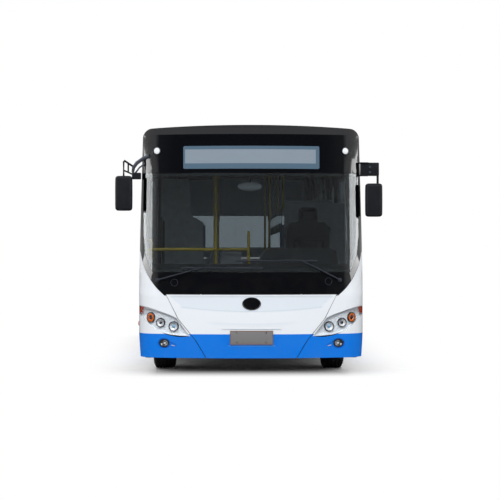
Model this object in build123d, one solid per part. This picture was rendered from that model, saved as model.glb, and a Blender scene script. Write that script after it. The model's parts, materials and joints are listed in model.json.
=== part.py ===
from build123d import *
import math
import os

# Low-entry city bus. Millimetres. The nose faces -Y, +Z is up, +X is the driver's side.
# The origin is on the ground under the middle of the body.

# Body
LENGTH = 10500
WIDTH = 2500
ROOF_Z = 2865
SKIRT_Z = 300
WAIST_Z = 1170
TUCK_Z = 560
TUCK = 45
EAVE_Z = 2850
EAVE_HALF = 1204
EAVE_R = 110
ROOF_CROWN = 25
NOSE_BOW_R = 4200
NOSE_CORNER_R = 300
TAIL_CORNER_R = 200
END_FLARE = 0.6
SHELL = 40
SEAT = 0.3
SEAM = 4
NOSE_SEAM = 8
GROOVE = 6
GROOVE_DEPTH = 3
NOSE_DEPTH = 408
TAIL_DEPTH = 210
ROOF_SEAM_Z = 2735
ABOVE_ROOF = 3000

# Glass
GLASS = 5
BAND_LOW_Z = 1180
BAND_HIGH_Z = 2724
LIGHT_LOW_Z = 1235
LIGHT_HIGH_Z = 2380
LIGHT_BORDER = 60
PANE_GAP = 8

# Floor
FLOOR_Z = 370
DECK = 20
REAR_FLOOR_Z = 750
TOP_FLOOR_Z = 1050
STEP_DEPTH = 200
STEP_HALF = 300

# Wheels
FRONT_OVERHANG = 2400
REAR_OVERHANG = 2900
TYRE_R = 478
TYRE_W = 270
RIM_R = 286
RIM_T = 16
HAND_HOLES = 10
HAND_HOLE_R = 18
FRONT_TRACK_HALF = 1050
TWIN_MID_HALF = 915
TWIN_OFFSET = 156
ARCH_R = 620
REAR_ARCH_R = 590
LINER = 6
HOUSING_IN = 559
KINGPIN_HALF = 860
KINGPIN_R = 18
KINGPIN_Z = 480
SPINDLE_R = 40
REAR_SPINDLE_R = 60
PIN_CLEARANCE = 0.3

# Doors
DOOR_W = 1100
DOOR_TOP_Z = 2410
DOOR_LIFT = 20
LEAF = 34
HINGE_GAP = 22
MEET_GAP = 12
DOOR_AXIS_INSET = 45
DOOR_PIN_R = 8
DOOR_AXIS_EDGE = 30
LEAF_RAIL = 50

# Nose panels
MASK_LOW_Z = 1008
FLAP_TOP_Z = 994
FLAP_TOP_HALF = 936
FLAP = 14
FLAP_ARM_X = 560
FLAP_ARM_T = 16
FLAP_PIN_R = 8
FLAP_HINGE_Z = 1200
FLAP_HINGE_DEPTH = 110
NOSE_FACE_Z = 980
CREASE_Z = 2758
BROW_DEPTH = 6
PLATE_DEPTH = 7

# Tail panels
LID_HALF = 850
LID_LOW_Z = 560
LID_HIGH_Z = 1330
LID = 30
LID_GAP = 10
LID_HINGE_X = 600
KNUCKLE_R = 12
LOUVRES = 11
LOUVRE_PITCH = 50
TAIL_LIGHT_LOW_Z = 1500
TAIL_LIGHT_HIGH_Z = 2140
TAIL_LIGHT_HALF = 1030

# Chassis
RAIL_X = 430
RAIL_W = 60
RAIL_H = 60
TAIL_RAIL_H = 100
TOW_T = 30
TOW_BORE_R = 20
JACK_X = 800
JACK_PAD = 8

NOSE_Y = -LENGTH / 2
TAIL_Y = LENGTH / 2
CAP_Y = NOSE_Y + NOSE_DEPTH
TAIL_CAP_Y = TAIL_Y - TAIL_DEPTH
FRONT_AXLE_Y = NOSE_Y + FRONT_OVERHANG
REAR_AXLE_Y = TAIL_Y - REAR_OVERHANG
REAR_FLOOR_Y = REAR_AXLE_Y - 900
TOP_FLOOR_Y = REAR_AXLE_Y + 950
FRONT_DOOR_Y = NOSE_Y + 610
MIDDLE_DOOR_Y = REAR_AXLE_Y - REAR_ARCH_R - 510 - DOOR_W
FLAP_HINGE_Y = NOSE_Y + FLAP_HINGE_DEPTH
HALF = WIDTH / 2
IN_HALF = HALF - SHELL - SEAT
FAR = 20000

# Posts between the side windows
POST_1_Y = FRONT_AXLE_Y + 800
POST_2_Y = MIDDLE_DOOR_Y - 800
POST_3_Y = REAR_AXLE_Y + 650
POST_4_Y = TAIL_CAP_Y - 890

# Hoops of the body frame: y, floor under them
HOOPS = ((CAP_Y, FLOOR_Z), (POST_1_Y, FLOOR_Z), (POST_2_Y, FLOOR_Z), (POST_3_Y, REAR_FLOOR_Z),
         (POST_4_Y, TOP_FLOOR_Z), (TAIL_CAP_Y - 60, TOP_FLOOR_Z))

# How far the nose leans back for each mm that it rises: from z, to z, slope
NOSE_LEANS = ((0, TUCK_Z, -0.08), (TUCK_Z, NOSE_FACE_Z, 0.0), (NOSE_FACE_Z, CREASE_Z, 0.062),
              (CREASE_Z, 2830, 0.35), (2830, ABOVE_ROOF, 1.6))
TAIL_LEANS = ((0, 1400, 0.0), (1400, 2780, 0.05), (2780, ABOVE_ROOF, 0.9))

nodes = {}


def box(x0, x1, y0, y1, z0, z1):
    return Pos((x0 + x1) / 2, (y0 + y1) / 2, (z0 + z1) / 2) * Box(x1 - x0, y1 - y0, z1 - z0)


def along_y(face, y0, y1):
    """Extrude a face drawn in X and Z from y0 to y1."""
    return extrude(Plane((0, y1, 0), x_dir=(1, 0, 0), z_dir=(0, -1, 0)) * face, y1 - y0)


def along_x(face, x0, x1):
    """Extrude a face drawn in Y and Z from x0 to x1."""
    return extrude(Plane((x0, 0, 0), x_dir=(0, 1, 0), z_dir=(1, 0, 0)) * face, x1 - x0)


def rod(a, b, radius):
    """Round bar from point a to point b."""
    path = Line(a, b)
    return extrude(Plane(origin=a, z_dir=path % 0) * Circle(radius), path.length)


def polygon(*points):
    return make_face(Polyline(*points, close=True))


def mirrored(shape):
    return mirror(shape, about=Plane.YZ)


def both(shape):
    return [shape, mirrored(shape)]


def fused(*shapes):
    total = shapes[0]
    for shape in shapes[1:]:
        total = total + shape
    return total


def keep(name, *shapes):
    solids = [solid for shape in shapes for solid in shape.solids()]
    nodes[name] = solids[0] if len(solids) == 1 else Compound(children=solids)


def end_plan(inset, lean, corner_r, bow_r=None):
    """Plan of one rounded end, its face a lean behind NOSE_Y, open far behind."""
    half = HALF + END_FLARE - inset
    face_y = NOSE_Y + inset + lean
    if bow_r:
        edge_y = face_y + (bow_r - inset) - math.sqrt((bow_r - inset) ** 2 - half**2)
        front = ThreePointArc((-half, edge_y), (0, face_y), (half, edge_y))
    else:
        edge_y = face_y
        front = Line((-half, edge_y), (half, edge_y))
    back = Polyline((half, edge_y), (half, FAR), (-half, FAR), (-half, edge_y))
    face = make_face(front + back)
    corners = face.vertices().sort_by(Axis.Y)[:2]
    return fillet(corners, corner_r - inset)


def leaning_stack(inset, leans, corner_r, bow_r=None):
    """The end's plan swept up through its leans."""
    datum = sum((high - low) * slope for low, high, slope in leans if high <= NOSE_FACE_Z)
    lean, stack = -datum, None
    for low, high, slope in leans:
        plan = end_plan(inset, lean, corner_r, bow_r)
        rise = high - low
        direction = Vector(0, slope * rise, rise)
        layer = extrude(Pos(0, 0, low) * plan, direction.length, dir=direction.normalized())
        stack = layer if stack is None else stack + layer
        lean += slope * rise
    return stack


def section(inset):
    """Body section, drawn in X and Z."""
    low_half = HALF - TUCK
    crown = ThreePointArc((EAVE_HALF, EAVE_Z - ROOF_CROWN), (0, ROOF_Z), (-EAVE_HALF, EAVE_Z - ROOF_CROWN))
    sides = Polyline((-EAVE_HALF, EAVE_Z - ROOF_CROWN), (-HALF, WAIST_Z), (-HALF, TUCK_Z), (-low_half, 0),
                     (low_half, 0), (HALF, TUCK_Z), (HALF, WAIST_Z), (EAVE_HALF, EAVE_Z - ROOF_CROWN))
    face = make_face(crown + sides)
    eaves = face.vertices().sort_by(Axis.Y)[-2:]
    face = fillet(eaves, EAVE_R)
    return offset(face, -inset, kind=Kind.INTERSECTION) if inset else face


def envelope(inset):
    nose = leaning_stack(inset, NOSE_LEANS, NOSE_CORNER_R, NOSE_BOW_R)
    tail = Rot(0, 0, 180) * leaning_stack(inset, TAIL_LEANS, TAIL_CORNER_R)
    return nose & tail & along_y(section(inset), -FAR / 2, FAR / 2)


SKIN = envelope(0)
UNDER_GLASS = envelope(GLASS + SEAT)
IN_GLASS = envelope(GLASS)
IN_SHELL = envelope(SHELL)
LINED = envelope(SHELL + SEAT)
FRAMED = envelope(2 * SHELL)
RING = SKIN - IN_SHELL
GLASS_LAYER = SKIN - IN_GLASS
REBATE = SKIN - UNDER_GLASS
GROOVE_LAYER = SKIN - envelope(GROOVE_DEPTH)


def outside(shape, reach=20):
    """What of a small piece lies outside the body."""
    b = shape.bounding_box()
    near = box(b.min.X - reach, b.max.X + reach, b.min.Y - reach, b.max.Y + reach, b.min.Z - reach, b.max.Z + reach)
    return shape - (SKIN & near)


def groove(shape):
    """The shallow line that a thin cutter leaves in the skin."""
    return shape & GROOVE_LAYER


def nose_y(x, z):
    """Where the skin of the nose lies at x and z."""
    half = HALF + END_FLARE
    turn_x = half - NOSE_CORNER_R
    turn_y = NOSE_Y + NOSE_BOW_R - math.sqrt((NOSE_BOW_R - NOSE_CORNER_R) ** 2 - turn_x**2)
    if abs(x) < turn_x * NOSE_BOW_R / (NOSE_BOW_R - NOSE_CORNER_R):
        y = NOSE_Y + NOSE_BOW_R - math.sqrt(NOSE_BOW_R**2 - x**2)
    else:
        y = turn_y - math.sqrt(NOSE_CORNER_R**2 - (abs(x) - turn_x) ** 2)
    for low, high, slope in NOSE_LEANS[2:]:
        y += slope * min(max(z - low, 0), high - low)
    return y


def nose_box(z0, z1, half=HALF + 100):
    return box(-half, half, NOSE_Y - 300, CAP_Y - SEAM / 2, z0, z1)


def mask_outline(drop=0.0):
    """Black face of the nose, drawn in X and Z: its low edge sweeps up to the corners."""
    low_z = MASK_LOW_Z - drop
    out_x, out_z = 1228, 1464 - drop
    turn_x = 953
    right = ThreePointArc((turn_x, low_z - 20), (1133, 1196 - drop), (out_x, out_z))
    rest = Polyline((out_x, out_z), (HALF + 60, out_z + 120), (HALF + 60, 3200), (-HALF - 60, 3200),
                    (-HALF - 60, out_z + 120), (-out_x, out_z))
    left = ThreePointArc((-out_x, out_z), (-1133, 1196 - drop), (-turn_x, low_z - 20))
    base = Polyline((-turn_x, low_z - 20), (-turn_x + 20, low_z), (turn_x - 20, low_z), (turn_x, low_z - 20))
    return make_face(right + rest + left + base)


def flap_outline(grow=0.0):
    """Middle flap of the nose, drawn in X and Z, between the two slanted seams."""
    g = grow
    half = FLAP_TOP_HALF + g
    return polygon((-half, FLAP_TOP_Z + g), (-800 - g, 728), (-610 - g, 497), (-455 - g, SKIRT_Z - 60),
                   (455 + g, SKIRT_Z - 60), (610 + g, 497), (800 + g, 728), (half, FLAP_TOP_Z + g))


def lamp_outline(grow=0.0):
    """Right headlamp unit, drawn in X and Z."""
    top = ThreePointArc((1300, 880), (1010, 815), (822, 742))
    inner = Line((822, 742), (672, 540))
    low = ThreePointArc((672, 540), (980, 575), (1190, 735))
    out = Polyline((1190, 735), (1300, 800), (1300, 880))
    face = make_face(top + inner + low + out)
    return offset(face, grow, kind=Kind.INTERSECTION) if grow else face


def windscreen_outline(shrink=0.0):
    s = shrink
    half_top, half_low = 1195 - s, 1090 - s
    low_z, high_z = 1240 + s, 2330 - s
    return polygon((-half_low, low_z), (half_low, low_z), (half_top - 25, low_z + 180), (half_top, low_z + 420),
                   (half_top, high_z), (-half_top, high_z), (-half_top, low_z + 420),
                   (-half_top + 25, low_z + 180))


def nose_prism(face):
    return along_y(face, NOSE_Y - 300, CAP_Y - SEAM / 2)


SIGN = (-750, 750, 2376, 2627)
MARKERS = ((-1045, 2580), (1045, 2580))
MARKER_R = 46


def sign_outline(grow=0.0):
    x0, x1, z0, z1 = SIGN
    return Pos((x0 + x1) / 2, (z0 + z1) / 2) * RectangleRounded(x1 - x0 + 2 * grow, z1 - z0 + 2 * grow, 18)


def build_mask():
    ring = RING & nose_box(SKIRT_Z, ABOVE_ROOF)
    mask = ring & nose_prism(mask_outline())
    mask -= nose_prism(windscreen_outline()) & REBATE
    mask -= nose_prism(windscreen_outline(30))
    mask -= nose_prism(sign_outline(SEAT))
    for x, z in MARKERS:
        mask -= along_y(Pos(x, z) * Circle(MARKER_R), NOSE_Y - 300, CAP_Y)
    keep("front_mask", mask)
    keep("windscreen", GLASS_LAYER & nose_prism(windscreen_outline(SEAT)))
    keep("destination_sign", (SKIN & nose_prism(sign_outline())) - envelope(30))
    markers = []
    for x, z in MARKERS:
        lens = along_y(Pos(x, z) * Circle(MARKER_R - SEAT), NOSE_Y - 300, CAP_Y)
        markers.append((SKIN & lens) - IN_SHELL)
    keep("marker_lamps", *markers)


# Headlamp's three round lamps: x, z, radius
LAMP_CUPS = ((1118, 741, 47), (1003, 686, 42), (857, 645, 46))
LAMP_CUP_DEPTH = 24

FOG_X = 958
FOG_Z = 460
FOG_RECESS_DEPTH = 12


def fog_outline(grow=0.0):
    return Pos(FOG_X, FOG_Z) * Ellipse(58 + grow, 45 + grow)


def fog_recess():
    """Teardrop round the fog lamp, its tail running inwards."""
    tail = polygon((FOG_X, FOG_Z + 56), (FOG_X - 126, FOG_Z - 10), (FOG_X - 134, FOG_Z - 20),
                   (FOG_X - 124, FOG_Z - 30), (FOG_X, FOG_Z - 56))
    tear = fog_outline(11) + fillet(tail.vertices().sort_by(Axis.X)[:3], 6)
    return nose_prism(tear) & (SKIN - envelope(FOG_RECESS_DEPTH))


def headlamp():
    """Right headlamp unit with a cup and a domed lamp in each of its three places."""
    unit = (SKIN & nose_prism(lamp_outline())) - IN_SHELL
    cup_layer = SKIN - envelope(LAMP_CUP_DEPTH)
    for x, z, radius in LAMP_CUPS:
        unit -= nose_prism(Pos(x, z) * Circle(radius)) & cup_layer
    for x, z, radius in LAMP_CUPS:
        dome = Pos(x, nose_y(x, z) + LAMP_CUP_DEPTH + 6, z) * Sphere(radius * 0.45)
        unit += dome
    return unit


def build_corners():
    ring = RING & nose_box(SKIRT_Z, ABOVE_ROOF)
    ring -= nose_prism(mask_outline(NOSE_SEAM))
    ring -= nose_prism(flap_outline(NOSE_SEAM))
    flap_room = FLAP_TOP_HALF + NOSE_SEAM
    ring -= box(-flap_room, flap_room, NOSE_Y - 300, CAP_Y, MASK_LOW_Z - 30, WAIST_Z)
    right = ring & box(0, HALF + 100, NOSE_Y - 300, CAP_Y, 0, ABOVE_ROOF)
    right = right - nose_prism(lamp_outline(SEAT)) - nose_prism(fog_outline()) - fog_recess()
    fog_lamp = (SKIN & nose_prism(fog_outline(-SEAT))) - IN_SHELL
    keep("front_corner_right", right)
    keep("front_corner_left", mirrored(right))
    keep("headlamps", *both(headlamp()))
    keep("fog_lamps", *both(fog_lamp))


def brow_outline():
    """Crescent recess under the flap's top edge, drawn in X and Z."""
    low = ThreePointArc((-758, 857), (0, 811), (758, 857))
    rest = Polyline((758, 857), (880, 960), (880, 980), (-880, 980), (-880, 960), (-758, 857))
    return make_face(low + rest)


def plate_outline():
    return polygon((-333, 619), (-265, 436), (265, 436), (333, 619))


def build_flap():
    """Nose flap on two swan-neck arms, which swing it out and up around a pivot behind the mask."""
    skin = (SKIN - envelope(FLAP)) & nose_prism(flap_outline())
    skin &= box(-HALF, HALF, NOSE_Y - 100, CAP_Y, SKIRT_Z, FLAP_TOP_Z)
    skin -= nose_prism(brow_outline()) & (SKIN - envelope(BROW_DEPTH))
    skin -= nose_prism(plate_outline()) & (SKIN - envelope(PLATE_DEPTH))
    y, z = FLAP_HINGE_Y, FLAP_HINGE_Z
    neck = polygon((y - 12, z + 12), (y + 200, z + 12), (y + 235, z - 30), (y + 235, z - 300), (y - 20, z - 330),
                   (y - 66, z - 330), (y - 66, z - 290), (y - 20, z - 290), (y + 195, z - 262), (y + 195, z - 40),
                   (y + 180, z - 12), (y - 12, z - 12))
    arms = []
    for x in (-FLAP_ARM_X, FLAP_ARM_X):
        arm = along_x(neck, x - FLAP_ARM_T / 2, x + FLAP_ARM_T / 2)
        arm -= rod((x - FLAP_ARM_T, y, z), (x + FLAP_ARM_T, y, z), FLAP_PIN_R + PIN_CLEARANCE)
        arms.append(arm - (SKIN - envelope(FLAP - 0.5)))
    keep("front_flap", fused(skin, *arms))


def build_frame():
    """Hoops and the nose frame that carry the panels."""
    band = LINED - FRAMED
    feet_z = FLOOR_Z + SEAT
    hoops = None
    for y, floor_z in HOOPS:
        hoop = band & box(-HALF, HALF, y - 30, y + 30, floor_z + SEAT, ABOVE_ROOF)
        hoops = hoop if hoops is None else hoops + hoop
    nose = band & box(-HALF, HALF, NOSE_Y - 100, CAP_Y + 30, feet_z, 1180)
    nose -= nose_prism(flap_outline(-70))
    nose -= nose_prism(lamp_outline(30)) + mirrored(nose_prism(lamp_outline(30)))
    y, z = FLAP_HINGE_Y, FLAP_HINGE_Z
    pins, brackets = [], []
    for x in (-FLAP_ARM_X, FLAP_ARM_X):
        nose -= box(x - 30, x + 30, NOSE_Y - 100, CAP_Y - 100, 0, ABOVE_ROOF)
        pins.append(rod((x - 40, y, z), (x + 40, y, z), FLAP_PIN_R))
        for bracket_x in (x - 30, x + 30):
            plate = box(bracket_x - 5, bracket_x + 5, y - 20, y + 40, z - 80, z + 20)
            brackets.append(plate & LINED)
    keep("body_frame", fused(nose, *hoops.solids(), *pins, *brackets))


def side_cuts(side):
    """Everything cut through one side wall; side is -1 for the door side."""
    x0, x1 = (-HALF - 100, -900) if side < 0 else (900, HALF + 100)
    cuts = []
    for axle_y, radius in ((FRONT_AXLE_Y, ARCH_R), (REAR_AXLE_Y, REAR_ARCH_R)):
        cuts.append(rod((x0, axle_y, TYRE_R), (x1, axle_y, TYRE_R), radius))
        cuts.append(box(x0, x1, axle_y - radius, axle_y + radius, 0, TYRE_R))
    if side < 0:
        for y in (FRONT_DOOR_Y, MIDDLE_DOOR_Y):
            cuts.append(box(x0, x1, y, y + DOOR_W, FLOOR_Z, DOOR_TOP_Z))
    return cuts, x0, x1


def panes(side):
    """Glass spans along one side: from y, to y, and whether light passes."""
    start, end = CAP_Y + SEAM, TAIL_CAP_Y - SEAM
    door_1, door_1_end = FRONT_DOOR_Y - 30, FRONT_DOOR_Y + DOOR_W + 30
    door_2, door_2_end = MIDDLE_DOOR_Y - 30, MIDDLE_DOOR_Y + DOOR_W + 30
    tail = ((POST_3_Y, POST_4_Y, True), (POST_4_Y, end, True))
    if side < 0:
        return ((start, door_1, False), (door_1_end, POST_1_Y, True), (POST_1_Y, POST_2_Y, True),
                (POST_2_Y, door_2, True), (door_2_end, POST_3_Y, True), *tail)
    return ((start, door_1_end, True), (door_1_end, POST_1_Y, True), (POST_1_Y, POST_2_Y, True),
            (POST_2_Y, MIDDLE_DOOR_Y + 590, True), (MIDDLE_DOOR_Y + 590, MIDDLE_DOOR_Y + 1700, True),
            (MIDDLE_DOOR_Y + 1700, POST_3_Y, True), *tail)


# Hatches in the skirt, marked by a groove: side, from y, to y, from z, to z
HATCHES = ((1, FRONT_DOOR_Y - 80, FRONT_DOOR_Y + 900, 345, 900), (1, POST_1_Y + 60, POST_1_Y + 900, 345, 1080),
           (1, MIDDLE_DOOR_Y - 500, MIDDLE_DOOR_Y + 300, 345, 1080), (1, POST_3_Y + 60, POST_4_Y - 60, 345, 1080),
           (1, POST_4_Y, TAIL_CAP_Y - 60, 345, 1080), (-1, POST_1_Y + 60, POST_2_Y - 60, 345, 1080),
           (-1, POST_3_Y + 60, POST_4_Y - 60, 345, 1080), (-1, POST_4_Y, TAIL_CAP_Y - 60, 345, 1080))


def hatch_grooves(side):
    grooves = []
    for at_side, y0, y1, z0, z1 in HATCHES:
        if at_side == side:
            x0, x1 = sorted((side * (HALF - 100), side * (HALF + 100)))
            frame = box(x0, x1, y0, y1, z0, z1) - box(x0, x1, y0 + GROOVE, y1 - GROOVE, z0 + GROOVE, z1 - GROOVE)
            grooves.append(groove(frame))
    return grooves


def build_sides():
    for side, name in ((-1, "left"), (1, "right")):
        cuts, x0, x1 = side_cuts(side)
        wall = RING & box(x0, x1, CAP_Y + SEAM / 2, TAIL_CAP_Y - SEAM / 2, SKIRT_Z, ROOF_SEAM_Z)
        band = box(x0, x1, CAP_Y, TAIL_CAP_Y, BAND_LOW_Z - SEAT, BAND_HIGH_Z + SEAT)
        wall -= band & REBATE
        glass = []
        for y0, y1, light in panes(side):
            pane = box(x0, x1, y0 + PANE_GAP / 2, y1 - PANE_GAP / 2, BAND_LOW_Z, BAND_HIGH_Z) & GLASS_LAYER
            glass += pane.solids()
            if light:
                cuts.append(box(x0, x1, y0 + LIGHT_BORDER, y1 - LIGHT_BORDER, LIGHT_LOW_Z, LIGHT_HIGH_Z))
        if side < 0:
            for y in (FRONT_DOOR_Y, MIDDLE_DOOR_Y):
                strip = box(x0, x1, y - 30 + PANE_GAP / 2, y + DOOR_W + 30 - PANE_GAP / 2, DOOR_TOP_Z + 10,
                            BAND_HIGH_Z)
                glass += (strip & GLASS_LAYER).solids()
        for cut in cuts + hatch_grooves(side):
            wall -= cut
        keep("side_wall_" + name, wall)
        keep("side_glass_" + name, *glass)


AC_Y = MIDDLE_DOOR_Y + 50
AC_LENGTH = 2700
AC_W = 1800
AC_H = 190
FAN_R = 215


def ac_unit():
    """Cooling unit: a shell with sloping sides and four fan wells, each with its hub on three spokes."""
    base_z = ROOF_Z + SEAT
    unit = Pos(0, AC_Y, base_z) * extrude(RectangleRounded(AC_W, AC_LENGTH, 160), AC_H, taper=12)
    unit = fillet(unit.faces().sort_by(Axis.Z)[-1].edges(), 25)
    top_z = base_z + AC_H
    for x in (-330, 330):
        for y in (AC_Y - 620, AC_Y + 620):
            unit -= Pos(x, y, top_z - 35) * Cylinder(FAN_R, 90)
            unit += Pos(x, y, top_z - 50) * Cylinder(60, 70)
            for angle in (0, 120, 240):
                unit += Pos(x, y, top_z - 25) * Rot(0, 0, angle) * Pos(FAN_R / 2, 0, 0) * Box(FAN_R + 20, 22, 20)
    return unit


def build_roof():
    roof = RING & box(-HALF, HALF, CAP_Y + SEAM / 2, TAIL_CAP_Y - SEAM / 2, ROOF_SEAM_Z + SEAT, ABOVE_ROOF)
    hatches = []
    for y in (FRONT_AXLE_Y - 150, REAR_AXLE_Y + 1050):
        roof -= box(-380, 380, y - 300, y + 300, 2000, ABOVE_ROOF)
        lid = Pos(0, y, ROOF_Z + SEAT) * extrude(RectangleRounded(820, 660, 60), 35)
        lid = fillet(lid.faces().sort_by(Axis.Z)[-1].edges(), 12)
        lid -= Pos(0, y, ROOF_Z + SEAT + 35) * Box(560, 420, 10)
        hatches.append(lid)
    keep("roof_panel", roof)
    keep("roof_hatches", *hatches)
    keep("roof_ac_unit", ac_unit())


LAMP_X = 1010
LAMP_HALF = 60
LAMP_LOW_Z = 700
LAMP_HIGH_Z = 1300


def lid_hinges(wall, lid):
    """Knuckles on the lid turn on pins that the wall holds."""
    y, z = TAIL_Y - 4, LID_HIGH_Z - 2
    room_r = KNUCKLE_R + 5
    pin_r = 5
    for x in (-LID_HINGE_X, LID_HINGE_X):
        wall -= rod((x - 40, y, z), (x + 40, y, z), room_r)
        for a, b in ((x - 75, x - 35), (x + 35, x + 75)):
            lid -= rod((a, y, z), (b, y, z), room_r)
        lid += rod((x - 35, y, z), (x + 35, y, z), KNUCKLE_R)
        lid -= rod((x - 40, y, z), (x + 40, y, z), pin_r + PIN_CLEARANCE)
        for a, b in ((x - 70, x - 40), (x + 40, x + 70)):
            wall += rod((a, y, z), (b, y, z), KNUCKLE_R)
        wall += rod((x - 70, y, z), (x + 70, y, z), pin_r)
    return wall, lid


def build_tail():
    ring = RING & box(-HALF, HALF, TAIL_CAP_Y + SEAM / 2, TAIL_Y + 100, SKIRT_Z, ABOVE_ROOF)
    window = RectangleRounded(2 * TAIL_LIGHT_HALF, TAIL_LIGHT_HIGH_Z - TAIL_LIGHT_LOW_Z, 60)
    mid_z = (TAIL_LIGHT_HIGH_Z + TAIL_LIGHT_LOW_Z) / 2
    pane = along_y(Pos(0, mid_z) * window, TAIL_CAP_Y, TAIL_Y + 100)
    hole = along_y(Pos(0, mid_z) * offset(window, -30), TAIL_CAP_Y - 100, TAIL_Y + 100)
    wall = ring - box(-HALF, HALF, TAIL_CAP_Y, TAIL_Y + 100, 0, LID_LOW_Z - SEAM)
    lid_room = LID_HALF + LID_GAP
    wall -= box(-lid_room, lid_room, TAIL_CAP_Y + 100, TAIL_Y + 100, 0, LID_HIGH_Z + LID_GAP)
    wall -= (along_y(Pos(0, mid_z) * offset(window, SEAT), TAIL_CAP_Y, TAIL_Y + 100)) & REBATE
    wall -= hole
    lamps = []
    for x in (-LAMP_X, LAMP_X):
        x0, x1 = x - LAMP_HALF, x + LAMP_HALF
        body = box(x0, x1, TAIL_CAP_Y, TAIL_Y + 100, LAMP_LOW_Z, LAMP_HIGH_Z)
        wall -= box(x0 - SEAT, x1 + SEAT, TAIL_CAP_Y, TAIL_Y + 100, LAMP_LOW_Z - SEAT, LAMP_HIGH_Z + SEAT)
        lamps.append(body & RING)
    lid = box(-LID_HALF, LID_HALF, TAIL_Y - LID, TAIL_Y, LID_LOW_Z + SEAM, LID_HIGH_Z)
    for x in (-LID_HALF / 2, LID_HALF / 2):
        for k in range(LOUVRES):
            z = LID_LOW_Z + 110 + k * LOUVRE_PITCH
            slot = along_y(Pos(x, z) * SlotOverall(620, 24), TAIL_Y - LID - 10, TAIL_Y + 10)
            lid -= slot
    wall, lid = lid_hinges(wall, lid)
    keep("rear_wall", wall)
    keep("rear_glass", pane & GLASS_LAYER)
    keep("rear_lamps", *lamps)
    bumper = ring & box(-HALF, HALF, TAIL_CAP_Y, TAIL_Y + 100, SKIRT_Z, LID_LOW_Z - SEAM - SEAT)
    bumper -= groove(box(-HALF - 10, HALF + 10, TAIL_CAP_Y, TAIL_Y + 100, 450, 450 + GROOVE))
    keep("rear_bumper", bumper)
    keep("engine_lid", lid)


def arch_shape(axle_y, radius, x0, x1, low_z):
    drum = rod((x0, axle_y, TYRE_R), (x1, axle_y, TYRE_R), radius)
    return drum + box(x0, x1, axle_y - radius, axle_y + radius, low_z, TYRE_R)


def housing_block(axle_y, radius):
    """What one right-hand wheel housing fills, with its seat clearance."""
    grow = LINER + SEAT
    return arch_shape(axle_y, radius + grow, HOUSING_IN - SEAT, HALF, 0)


def floor_level(y0, y1, z, step_z):
    """One level of the floor with the riser behind it and the step before the riser, as separate sheets."""
    slab = box(-IN_HALF, IN_HALF, y0, y1 - DECK - SEAT, z - DECK, z)
    riser_top = 2 * step_z - z
    riser = box(-IN_HALF, IN_HALF, y1 - DECK, y1 - SEAT, z - DECK, riser_top)
    step = box(-STEP_HALF, STEP_HALF, y1 - DECK - STEP_DEPTH, y1 - DECK - SEAT, z + SEAT, step_z)
    return [slab, riser, step]


def build_floor():
    levels = floor_level(NOSE_Y, REAR_FLOOR_Y, FLOOR_Z, (FLOOR_Z + REAR_FLOOR_Z) / 2)
    levels += floor_level(REAR_FLOOR_Y, TOP_FLOOR_Y, REAR_FLOOR_Z, (REAR_FLOOR_Z + TOP_FLOOR_Z) / 2)
    levels.append(box(-IN_HALF, IN_HALF, TOP_FLOOR_Y, TAIL_Y, TOP_FLOOR_Z - DECK, TOP_FLOOR_Z))
    front_cut = nose_prism(flap_outline(-70)) & box(-HALF, HALF, NOSE_Y, NOSE_Y + 250, 0, FLAP_TOP_Z)
    sheets = []
    for sheet in levels:
        sheet = sheet & LINED
        for axle_y, radius in ((FRONT_AXLE_Y, ARCH_R), (REAR_AXLE_Y, REAR_ARCH_R)):
            block = housing_block(axle_y, radius)
            sheet = sheet - block - mirrored(block)
        sheets.append(sheet - front_cut)
    keep("floor_deck", *sheets)
    housings = []
    for axle_y, radius in ((FRONT_AXLE_Y, ARCH_R), (REAR_AXLE_Y, REAR_ARCH_R)):
        outer = arch_shape(axle_y, radius + LINER, HOUSING_IN, IN_HALF, SKIRT_Z)
        inner = arch_shape(axle_y, radius, HOUSING_IN + LINER, HALF, 0)
        liner = (outer - inner) & LINED & box(0, HALF, axle_y - 1000, axle_y + 1000, SKIRT_Z, 2000)
        if axle_y == REAR_AXLE_Y:
            liner -= box(0, 700, axle_y - 110, axle_y + 110, 0, TYRE_R + 140)
        housings += both(liner)
    keep("wheel_housings", *housings)


LOW_RAIL_TOP = FLOOR_Z - DECK
LOW_RAIL_BASE = LOW_RAIL_TOP - RAIL_H
TAIL_RAIL_TOP = REAR_FLOOR_Z - DECK
TAIL_RAIL_BASE = TAIL_RAIL_TOP - TAIL_RAIL_H
TOW_FRONT_Y = NOSE_Y + 1250
TOW_REAR_Y = TAIL_Y - 260
JACK_FRONT_Y = FRONT_AXLE_Y - 710
JACK_REAR_Y = REAR_FLOOR_Y - 80


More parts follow.
